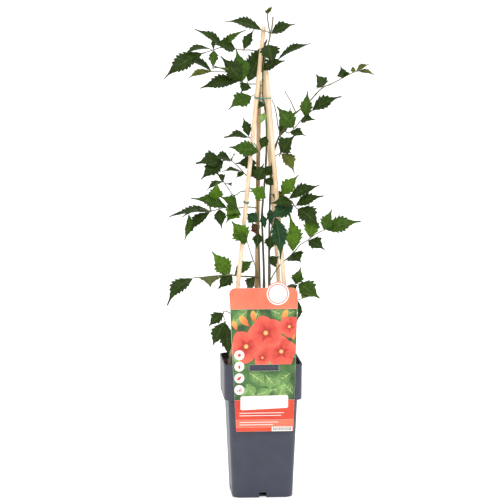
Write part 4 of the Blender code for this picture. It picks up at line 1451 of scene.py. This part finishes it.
PRINTED_BLOOMS = (Motif(-26, 232, 26, 0.9), Motif(26, 224, 24, 0.3), Motif(3, 252, 27, 0.6),
                  Motif(38, 261, 17, 1.0), Motif(-2, 215, 14, 1.4))
PRINTED_BUDS = (Motif(-22, 262, 21, 2.3), Motif(-14, 268, 18, 1.7), Motif(28, 270, 18, 1.2),
                Motif(-40, 256, 16, 1.9), Motif(44, 240, 14, 1.6))
PRINTED_LEAVES = (Motif(-46, 262, 34, 0.9), Motif(-26, 284, 30, -2.4), Motif(10, 286, 30, -0.4),
                  Motif(-8, 287, 26, -1.9), Motif(46, 284, 28, 3.5), Motif(46, 214, 30, 2.0),
                  Motif(-4, 226, 30, -0.9), Motif(-44, 224, 26, -1.0), Motif(12, 218, 20, -0.3),
                  Motif(-22, 193, 36, -0.6), Motif(2, 190, 36, -0.9), Motif(40, 192, 34, -2.5),
                  Motif(-26, 176, 30, -1.0), Motif(10, 168, 30, -0.2), Motif(-14, 158, 28, 0.3),
                  Motif(44, 160, 30, 2.3), Motif(22, 154, 24, 1.2), Motif(-34, 155, 22, 0.9))


WHITE = Ink("white", "efe9e2", "f7f3ee")
RED = Ink("red", "cb341b", "da4624", 50)
SALMON = Ink("salmon", "da6246", "e67b5c", 40)
FOLIAGE = Ink("foliage", "24461f", "4c7838", 14)
GREY = Ink("grey", "4a4a4a", "5c5c5c")
LEAF = Ink("leaf", "1d4719", "8cba66", 12, True)
VEIN = Ink("vein", "8fae57", "c3d98d", 12, True)
PETAL = Ink("petal", "a51a12", "f4624c", 14, True)
THROAT = Ink("throat", "8e140f", "d83a2a", 10, True)
HEART = Ink("heart", "e88a3a", "fbd98a", 10, True)
BUD = Ink("bud", "cc3a1c", "f7a852", 12, True)


@dataclass
class Card:
    """The care label: a card with a round ear and a tongue, and its generic print."""

    front: float
    left_top: float = -51 * MM
    right_top: float = 50.5 * MM
    left_low: float = -41 * MM
    right_low: float = 44.5 * MM
    top: float = 319 * MM
    bottom: float = 104 * MM
    corner: float = 9 * MM
    ear: Point3 = (21 * MM, 310 * MM, 18 * MM)
    slot: Tuple[float, float, float, float] = (-21.5 * MM, 22.5 * MM, 195.3 * MM, 204.3 * MM)
    thickness: float = 0.7 * MM
    step: float = 0.08 * MM
    film: float = 0.004 * MM
    sunk: float = 0.01 * MM
    margin: float = 0.08 * MM
    round_margin: float = 0.1 * MM
    picture_margin: float = 0.5 * MM
    picture_low: float = 151.8 * MM
    picture_high: float = 287.0 * MM
    corner_low: float = 2 * MM
    print_seed: int = 3
    inks: Dict[str, bpy.types.Material] = field(default_factory=dict)

    def ink(self, ink: Ink) -> bpy.types.Material:
        """Return the material of one printed colour, which is made once.

        Args:
            ink: the colour.

        Returns:
            Its material.
        """
        if ink.name not in self.inks:
            self.inks[ink.name] = PrintedCard("print_" + ink.name, low=ink.low, high=ink.high,
                                              cloud_mm=ink.cloud_mm, shaded=ink.shaded).build()
        return self.inks[ink.name]

    def left(self, z: float) -> float:
        """The card's left edge at height z."""
        share = (z - self.bottom) / (self.top - self.bottom)
        return self.left_low + (self.left_top - self.left_low) * share

    def right(self, z: float) -> float:
        """The card's right edge at height z."""
        share = (z - self.bottom) / (self.top - self.bottom)
        return self.right_low + (self.right_top - self.right_low) * share

    def outline(self) -> List[Vector]:
        """Lay out the card with its ear.

        Returns:
            The outline from its lower left corner.
        """
        def arc(centre: Point2, radius: float, start: float, end: float, steps: int
                ) -> List[Vector]:
            """Points of an arc from a start angle to an end angle."""
            return [Vector((centre[0] + radius * math.cos(start + (end - start) * k / steps),
                            centre[1] + radius * math.sin(start + (end - start) * k / steps)))
                    for k in range(steps + 1)]
        x, z, radius = self.ear
        rise = math.asin((self.top - z) / radius)
        low = self.corner_low
        points = arc((self.left_low + low, self.bottom + low), low, -math.pi / 2, -math.pi, 4)
        points += arc((self.left_top + self.corner, self.top - self.corner), self.corner, math.pi,
                      math.pi / 2, 10)
        points += arc((x, z), radius, math.pi - rise, rise, 28)
        points += arc((self.right_top - self.corner, self.top - self.corner), self.corner,
                      math.pi / 2, 0, 10)
        points += arc((self.right_low - low, self.bottom + low), low, 0, -math.pi / 2, 4)
        return points

    def plate(self, name: str, outline: Sequence[Vector], near: float, far: float,
              material: bpy.types.Material, holes: Sequence[Sequence[Vector]] = (),
              node: Optional[str] = None) -> bpy.types.Object:
        """Build a flat plate with holes.

        Args:
            name: the piece's name.
            outline: its outline as (x, z) points.
            near: y of its front face.
            far: y of its back face.
            material: its finish.
            holes: outlines of its holes.
            node: the node that it replaces.

        Returns:
            The piece.
        """
        shape = bmesh.new()
        edges = []
        for loop in (outline, *holes):
            corners = [shape.verts.new((p.x, near, p.y)) for p in loop]
            edges += [shape.edges.new((a, b)) for a, b in zip(corners, corners[1:] + corners[:1])]
        bmesh.ops.triangle_fill(shape, use_beauty=True, use_dissolve=False, edges=edges)
        shape.verts.index_update()
        points = [v.co.copy() for v in shape.verts]
        faces = [tuple(v.index for v in face.verts) for face in shape.faces]
        count = len(points)
        walls = [(e.verts[0].index, e.verts[1].index, count + e.verts[1].index,
                  count + e.verts[0].index) for e in shape.edges if len(e.link_faces) == 1]
        shape.free()
        mesh = Mesh(name)
        mesh.add(points + [Vector((p.x, far, p.z)) for p in points],
                 faces + [tuple(count + i for i in reversed(f)) for f in faces] + walls)
        return mesh.piece([material], "label_card", node, 30.0)

    def level(self, layer: Layer) -> float:
        """The y of a print layer's face."""
        return self.front - self.step * layer.value

    def band(self, name: str, low: float, high: float, material: bpy.types.Material,
             holes: Sequence[Sequence[Vector]] = ()) -> None:
        """Build a band of the ground colours across the card.

        Args:
            name: the piece's name.
            low: its lower edge.
            high: its upper edge.
            material: its finish.
            holes: outlines of its holes.
        """
        inset = self.margin
        outline = [Vector((self.left(low) + inset, low)), Vector((self.left(high) + inset, high)),
                   Vector((self.right(high) - inset, high)), Vector((self.right(low) - inset, low))]
        self.plate(name, outline, self.level(Layer.GROUND), self.front + self.sunk, material,
                   holes)

    def round_outline(self, x: float, z: float, radius: float, steps: int = 40) -> List[Vector]:
        """A circle."""
        return [Vector((x + radius * math.cos(math.tau * k / steps),
                        z + radius * math.sin(math.tau * k / steps))) for k in range(steps)]

    def slot_outline(self, spare: float = 0.0) -> List[Vector]:
        """The slot's outline, widened by a spare width."""
        left, right, low, high = self.slot
        return [Vector((left - spare, low - spare)), Vector((right + spare, low - spare)),
                Vector((right + spare, high + spare)), Vector((left - spare, high + spare))]

    def build_body(self) -> None:
        """The card itself, with its tongue over the pot's rim."""
        white = self.ink(WHITE)
        self.plate("label_body", self.outline(), self.front, self.front + self.thickness, white,
                   [self.slot_outline()], "label")
        seat, left, right = self.slot[3], self.slot[0], self.slot[1]
        mesh = Mesh("label_tongue")
        back = self.front + self.thickness
        path = [Vector((0, back - 0.3 * MM, seat + 0.35 * MM)),
                Vector((0, back + 1.6 * MM, seat + 0.45 * MM)),
                Vector((0, back + 2.2 * MM, seat + 0.2 * MM)),
                Vector((0, back + 2.45 * MM, seat - 0.8 * MM)),
                Vector((0, back + 2.45 * MM, seat - 9.5 * MM))]
        corners, faces = [], []
        for i, point in enumerate(path):
            way = (path[min(i + 1, len(path) - 1)] - path[max(i - 1, 0)]).normalized()
            out = Vector((1, 0, 0)).cross(way) * 0.3 * MM
            taper = 3 * MM if i == len(path) - 1 else 0.0
            for x, sign in ((left + taper, -1), (right - taper, -1), (right - taper, 1),
                            (left + taper, 1)):
                corners.append(Vector((x, point.y, point.z)) + out * sign)
        for i in range(len(path) - 1):
            a, b = i * 4, (i + 1) * 4
            faces += [(a + k, a + (k + 1) % 4, b + (k + 1) % 4, b + k) for k in range(4)]
        faces += [(0, 1, 2, 3), tuple(len(corners) - 4 + k for k in (3, 2, 1, 0))]
        mesh.add(corners, faces)
        mesh.piece([white], "label_card", None, 50.0)

    def head_outline(self, low: float) -> List[Vector]:
        """Lay out the card above a height, a little inside its edge.

        Args:
            low: the height.

        Returns:
            The outline of that part.
        """
        centre = Vector((0, (self.top + self.bottom) / 2))
        inside = [p for p in self.outline() if p.y > low]
        inside = [p + (centre - p).normalized() * self.round_margin for p in inside]
        return [Vector((self.left(low) + self.margin, low)), *inside,
                Vector((self.right(low) - self.margin, low))]

    def foot_outline(self, high: float) -> List[Vector]:
        """Lay out the card below a height, a little inside its edge.

        Args:
            high: the height.

        Returns:
            The outline of that part.
        """
        inside = [p + Vector((0, self.round_margin)) for p in self.outline() if p.y < high]
        half = len(inside) // 2
        return [*inside[:half], Vector((self.left(high) + self.margin, high)),
                Vector((self.right(high) - self.margin, high)), *inside[half:]]

    def build_ground(self) -> None:
        """The coloured bands, the picture's ground and the ear's plain disc."""
        salmon = self.ink(SALMON)
        red = self.ink(RED)
        head = self.head_outline(287.5 * MM)
        self.plate("print_head", head, self.level(Layer.GROUND), self.front + self.sunk, salmon)
        foliage = self.ink(FOLIAGE)
        self.band("print_picture", 151.5 * MM, 287.3 * MM, foliage,
                  [self.slot_outline(0.2 * MM)])
        self.band("print_band_red", 121.8 * MM, 151.3 * MM, red)
        self.band("print_band_salmon", 110.2 * MM, 121.6 * MM, salmon)
        self.plate("print_foot", self.foot_outline(110.0 * MM), self.level(Layer.GROUND),
                   self.front + self.sunk, red)
        x, z, radius = self.ear
        white = self.ink(WHITE)
        self.plate("print_ear", self.round_outline(x, z, radius - 1.4 * MM, 56),
                   self.level(Layer.PICTURE), self.level(Layer.GROUND) + self.sunk, white)
        ring = self.round_outline(x, z, radius - 3.4 * MM, 56)
        self.plate("print_ear_ring", ring, self.level(Layer.PANELS),
                   self.level(Layer.PICTURE) + self.sunk, red,
                   [self.round_outline(x, z, radius - 4.4 * MM, 56)])

    def petal_outline(self, length: float, width: float, tilt: float, lean: float = 0.8
                      ) -> List[Vector]:
        """A petal or leaf as points about its root.

        Args:
            length: from its root to its tip.
            width: half its widest part.
            tilt: the way that it points, in radians from the card's right.
            lean: under 1 for a leaf that is widest near its root, over 1 for a round petal.

        Returns:
            Its outline.
        """
        points = []
        for k in range(17):
            share = k / 16
            points.append(Vector((length * share,
                                  width * math.sin(math.pi * share ** lean) ** 0.8)))
        points += [Vector((p.x, -p.y)) for p in reversed(points[1:-1])]
        turn = Matrix.Rotation(tilt, 2)
        return [turn @ p for p in points]

    def trim(self, outline: Sequence[Vector], low: float, high: float) -> List[Vector]:
        """Cut an outline off at the card's sides and at two heights.

        Args:
            outline: the outline.
            low: the lower height.
            high: the upper height.

        Returns:
            What is left of it.
        """
        inset = self.picture_margin
        left, right = Vector((self.left(low), low)), Vector((self.right(low), low))
        lean_left = Vector((self.left(high), high)) - left
        lean_right = Vector((self.right(high), high)) - right
        cuts = ((left + Vector((inset, 0)), Vector((lean_left.y, -lean_left.x))),
                (right - Vector((inset, 0)), Vector((-lean_right.y, lean_right.x))),
                (left, Vector((0, 1))), (Vector((0, high)), Vector((0, -1))))
        points = list(outline)
        for place, inward in cuts:
            kept = []
            for a, b in zip(points, points[1:] + points[:1]):
                near, far = (a - place).dot(inward), (b - place).dot(inward)
                if near >= 0:
                    kept.append(a)
                if near * far < 0:
                    kept.append(a.lerp(b, near / (near - far)))
            points = kept
        return points

    def shape(self, mesh: Mesh, root: Vector, outline: Sequence[Vector], y: float,
              inner: float = 0.5, outer: float = 0.5) -> None:
        """Add a flat shape whose depth value runs from its root to its far edge.

        Args:
            mesh: the mesh that takes it.
            root: where the shape grows from, on the card.
            outline: its outline on the card.
            y: the y of its face.
            inner: depth value at the root.
            outer: depth value at the far edge.
        """
        if len(outline) < 3:
            return
        middle = sum(outline, Vector((0, 0))) / len(outline)
        reach = max((p - root).length for p in outline)
        flat = [middle, *outline]
        values = [inner + (outer - inner) * (p - root).length / reach for p in flat]
        count = len(flat)
        rim = [(1 + k, 1 + (k + 1) % (count - 1)) for k in range(count - 1)]
        faces = [(0, a, b) for a, b in rim] + [(count, count + b, count + a) for a, b in rim]
        walls = [(a, b, count + b, count + a) for a, b in rim]
        mesh.add([Vector((p.x, y, p.y)) for p in flat]
                 + [Vector((p.x, y + self.film, p.y)) for p in flat],
                 faces + walls, depth=values + values)

    def picture_part(self, z: float) -> Tuple[float, float]:
        """The part of the picture, over or under the slot, that holds a height."""
        if z > self.slot[3]:
            return self.slot[3] + self.picture_margin, self.picture_high
        return self.picture_low, self.slot[2] - self.picture_margin

    def printed(self, mesh: Mesh, motif: Motif, y: float, fat: float, lean: float,
                inner: float, outer: float) -> None:
        """Add one leaf or petal of the picture, cut off where the picture ends.

        Args:
            mesh: the mesh that takes it.
            motif: where it grows, its size and its tilt.
            y: the y of its face.
            fat: half its width as a share of its size.
            lean: as for petal_outline.
            inner: depth value at its root.
            outer: depth value at its far edge.
        """
        root = Vector((motif.x, motif.z)) * MM
        outline = [root + p for p in self.petal_outline(motif.size * MM, motif.size * fat * MM,
                                                        motif.tilt, lean)]
        self.shape(mesh, root, self.trim(outline, *self.picture_part(root.y)), y, inner, outer)

    def build_foliage(self) -> None:
        """Pointed leaves with pale veins, under the blooms and in the lower part."""
        rng = np.random.default_rng(self.print_seed)
        leaves, veins = Mesh("print_leaves"), Mesh("print_veins")
        for number, motif in enumerate(PRINTED_LEAVES):
            y = self.level(Layer.LEAVES) - 2 * self.film * number
            self.printed(leaves, motif, y, 0.27, 0.8, rng.uniform(0.15, 0.35),
                         rng.uniform(0.5, 0.95))
            y -= self.film
            rib = Motif(motif.x, motif.z, motif.size * 0.94, motif.tilt)
            self.printed(veins, rib, y, 0.014, 0.6, 0.9, 0.6)
            way = Vector((math.cos(motif.tilt), math.sin(motif.tilt)))
            for side in (-1, 1):
                for share in (0.2, 0.38, 0.56):
                    start = Vector((motif.x, motif.z)) + way * motif.size * share
                    vein = Motif(start.x, start.y, motif.size * (0.34 - 0.25 * share),
                                 motif.tilt + side * 0.72)
                    self.printed(veins, vein, y, 0.03, 0.6, 0.7, 0.4)
        leaves.piece([self.ink(LEAF)], "label_card")
        veins.piece([self.ink(VEIN)], "label_card")

    def build_blooms(self) -> None:
        """Open five-lobed blooms with dark throats and pale hearts, and long buds."""
        petals, throats = Mesh("print_petals"), Mesh("print_throats")
        hearts, buds = Mesh("print_hearts"), Mesh("print_buds")
        for number, bud in enumerate(PRINTED_BUDS):
            y = self.level(Layer.BUDS) - 2 * self.film * number
            self.printed(buds, bud, y, 0.24, 1.25, 0.25, 1.0)
        for number, bloom in enumerate(PRINTED_BLOOMS):
            y = self.level(Layer.PETALS) - 14 * self.film * number
            for k in range(5):
                lobe = Motif(bloom.x, bloom.z, bloom.size, bloom.tilt + math.tau * k / 5)
                self.printed(petals, lobe, y - 2 * self.film * k, 0.47, 1.3, 0.12, 1.0)
                streak = Motif(bloom.x, bloom.z, bloom.size * 0.52, lobe.tilt)
                self.printed(throats, streak, y - 10.5 * self.film, 0.2, 0.8, 0.1, 0.9)
            root = Vector((bloom.x, bloom.z)) * MM
            heart = self.round_outline(root.x, root.y, bloom.size * 0.13 * MM, 24)
            self.shape(hearts, root, heart, y - 12.5 * self.film, 0.9, 0.2)
        petals.piece([self.ink(PETAL)], "label_card")
        throats.piece([self.ink(THROAT)], "label_card")
        hearts.piece([self.ink(HEART)], "label_card")
        buds.piece([self.ink(BUD)], "label_card")

    def build_panels(self) -> None:
        """The blank panel, the four symbol discs, plain rules and the bar box."""
        white = self.ink(WHITE)
        red = self.ink(RED)
        grey = self.ink(GREY)
        panel = [Vector(p) * MM for p in ((-34.5, 138), (-34.5, 155.5), (-32.5, 157.2),
                                          (34.5, 158.4), (36.3, 156.8), (36.3, 140.8),
                                          (34.5, 139.2), (-32.5, 136.4))]
        self.plate("print_panel", panel, self.level(Layer.PANELS), self.front, white)
        for number, z in enumerate((219.0, 202.0, 184.5, 167.0)):
            centre = Vector((-36.2 * MM, z * MM))
            self.plate(f"print_disc_{number}", self.round_outline(*centre, 7.4 * MM, 36),
                       self.level(Layer.PANELS), self.front, white)
            self.build_symbol(number, centre, red)
        for number, (z, length) in enumerate(((131.5, 66), (127.6, 62), (117.6, 58), (113.8, 50))):
            start = -36 * MM
            rule = [Vector((start, z * MM)), Vector((start, (z + 0.9) * MM)),
                    Vector((start + length * MM, (z + 0.9) * MM)),
                    Vector((start + length * MM, z * MM))]
            self.plate(f"print_rule_{number}", rule, self.level(Layer.MARKS), self.front, white)
        box = [Vector(p) * MM for p in ((12, 104.2), (12, 111), (42.8, 111), (42.8, 104.2))]
        self.plate("print_bar_box", box, self.level(Layer.PANELS), self.front, white)
        rng = np.random.default_rng(self.print_seed)
        x = 14.0
        bars = Mesh("print_bars")
        while x < 41.5:
            wide = float(rng.choice((0.35, 0.6, 0.9)))
            bar = [Vector(p) * MM for p in ((x, 105.4), (x + wide, 105.4), (x + wide, 110),
                                            (x, 110))]
            self.shape(bars, bar[0], bar, self.level(Layer.MARKS))
            x += wide + float(rng.choice((0.4, 0.7, 1.0)))
        bars.piece([grey], "label_card")

    def build_symbol(self, number: int, centre: Vector, ink: bpy.types.Material) -> None:
        """Build a plain symbol in a disc: sun, drop, leaf or upright bars.

        Args:
            number: which of the four.
            centre: the disc's centre.
            ink: its finish.
        """
        mesh = Mesh(f"print_symbol_{number}")
        outlines = []
        if number == 0:
            outlines.append(self.round_outline(0, 0, 2.4 * MM, 20))
            for k in range(8):
                turn = Matrix.Rotation(math.tau * k / 8, 2)
                ray = self.petal_outline(1.7 * MM, 0.35 * MM, 0)
                outlines.append([turn @ (p + Vector((3.2 * MM, 0))) for p in ray])
        elif number == 1:
            outlines.append([Vector((2.2 * MM * math.sin(a) * math.sin(a / 2) ** 1.5,
                                     3.4 * MM * math.cos(a)))
                             for a in (math.tau * k / 28 for k in range(28))])
        elif number == 2:
            leaf = self.petal_outline(8.4 * MM, 2 * MM, math.pi / 4)
            outlines.append([p - Vector((3 * MM, 3 * MM)) for p in leaf])
        else:
            for x, height in ((-2.4, 2.4), (0, 4.0), (2.4, 5.6)):
                outlines.append([Vector(p) * MM for p in
                                 ((x - 0.7, -2.8), (x + 0.7, -2.8), (x + 0.7, height - 2.8),
                                  (x - 0.7, height - 2.8))])
        for outline in outlines:
            self.shape(mesh, centre, [centre + p for p in outline], self.level(Layer.MARKS))
        mesh.piece([ink], "label_card")

    def build(self) -> None:
        """Build the card and its print."""
        self.build_body()
        self.build_ground()
        self.build_foliage()
        self.build_blooms()
        self.build_panels()


@dataclass
class Studio:
    """Pale floor and backdrop, soft lights and the camera at the sketch's eye."""

    sketch: Sketch
    sensor: float = 36.0
    view_width: float = 0.75
    glow: float = 0.4
    sky: float = 0.66
    near: float = -5.0
    bend: float = 4.5
    bend_radius: float = 1.6
    half_width: float = 6.0
    wall_top: float = 6.0

    def build_floor(self) -> None:
        """A floor that curves up into a backdrop."""
        material = bpy.data.materials.new("studio_paper")
        material.use_nodes = True
        shader = material.node_tree.nodes["Principled BSDF"]
        shader.inputs["Base Color"].default_value = linear("ffffff")
        shader.inputs["Roughness"].default_value = 0.9
        shader.inputs["Emission Color"].default_value = linear("ffffff")
        shader.inputs["Emission Strength"].default_value = self.glow
        mesh = bpy.data.meshes.new("studio_floor")
        rows, radius = [(self.near, 0.0)], self.bend_radius
        for k in range(21):
            angle = math.pi / 2 * k / 20
            rows.append((self.bend + radius * math.sin(angle), radius * (1 - math.cos(angle))))
        rows.append((self.bend + radius, self.wall_top))
        points = [(x, y, z) for y, z in rows for x in (-self.half_width, self.half_width)]
        faces = [(2 * k, 2 * k + 1, 2 * k + 3, 2 * k + 2) for k in range(len(rows) - 1)]
        mesh.from_pydata(points, [], faces)
        mesh.shade_smooth()
        floor = bpy.data.objects.new("studio_floor", mesh)
        bpy.context.scene.collection.objects.link(floor)
        mesh.materials.append(material)

    def build_light(self, name: str, place: Point3, aim: Point3, size: float,
                    power: float) -> None:
        """Hang one soft square light.

        Args:
            name: the light's name.
            place: where it hangs.
            aim: the point that it faces.
            size: its side in metres.
            power: its power in watts.
        """
        data = bpy.data.lights.new(name, "AREA")
        data.size = size
        data.energy = power
        lamp = bpy.data.objects.new(name, data)
        lamp.location = place
        way = Vector(aim) - Vector(place)
        lamp.rotation_euler = way.to_track_quat("-Z", "Y").to_euler()
        bpy.context.scene.collection.objects.link(lamp)

    def build_camera(self) -> None:
        """The camera at the eye of the sketch."""
        data = bpy.data.cameras.new("camera")
        data.sensor_width = self.sensor
        data.lens = self.sensor * self.sketch.distance / self.view_width
        camera = bpy.data.objects.new("camera", data)
        camera.location = self.sketch.turned(self.sketch.eye)
        camera.rotation_euler = (math.radians(90 - self.sketch.look_down), 0,
                                 math.radians(self.sketch.turn))
        bpy.context.scene.collection.objects.link(camera)
        bpy.context.scene.camera = camera

    def build(self) -> None:
        """Build floor, lights, world and camera."""
        self.build_floor()
        self.build_light("key_light", (-0.9, -2.7, 2.3), (0, 0, 0.4), 1.6, 40)
        self.build_light("fill_light", (1.7, -2.1, 1.6), (0, 0, 0.4), 1.8, 15)
        self.build_light("top_light", (0.2, 0.6, 2.6), (0, 0, 0.2), 2.0, 20)
        world = bpy.data.worlds.new("studio_world")
        bpy.context.scene.world = world
        world.use_nodes = True
        ground = world.node_tree.nodes["Background"]
        ground.inputs["Color"].default_value = (1, 1, 1, 1)
        ground.inputs["Strength"].default_value = self.sky
        bpy.context.scene.view_settings.view_transform = "Standard"
        self.build_camera()


def main() -> None:
    """Load the frame and build every piece of the looks."""
    logging.basicConfig(level=logging.INFO, format="%(message)s")
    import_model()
    sketch = Sketch()
    Studio(sketch).build()
    Pot(MouldedPolypropylene().build()).build()
    plain_bamboo = SplitBamboo().build()
    # A darker copy of the bamboo for the shaded stake: painted shade.
    shaded_bamboo = SplitBamboo("painted_shade_bamboo", pale="d2b184", middle="b98f5f", deep="8d6740").build()
    support = Support(sketch, plain_bamboo, shaded_bamboo, CoatedWire().build())
    support.build_stakes()
    support.build_ties()
    Soil(PottingMix().build()).build()
    bark, blade = YoungBark().build(), LeafBlade().build()
    count = 0
    for plant in PLANTS:
        stem = LeafyStem(plant, sketch, bark, blade, count)
        stem.build_canes()
        count += stem.build_leaves()
    Card(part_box("label")[0].y).build()


if __name__ == "__main__":
    main()
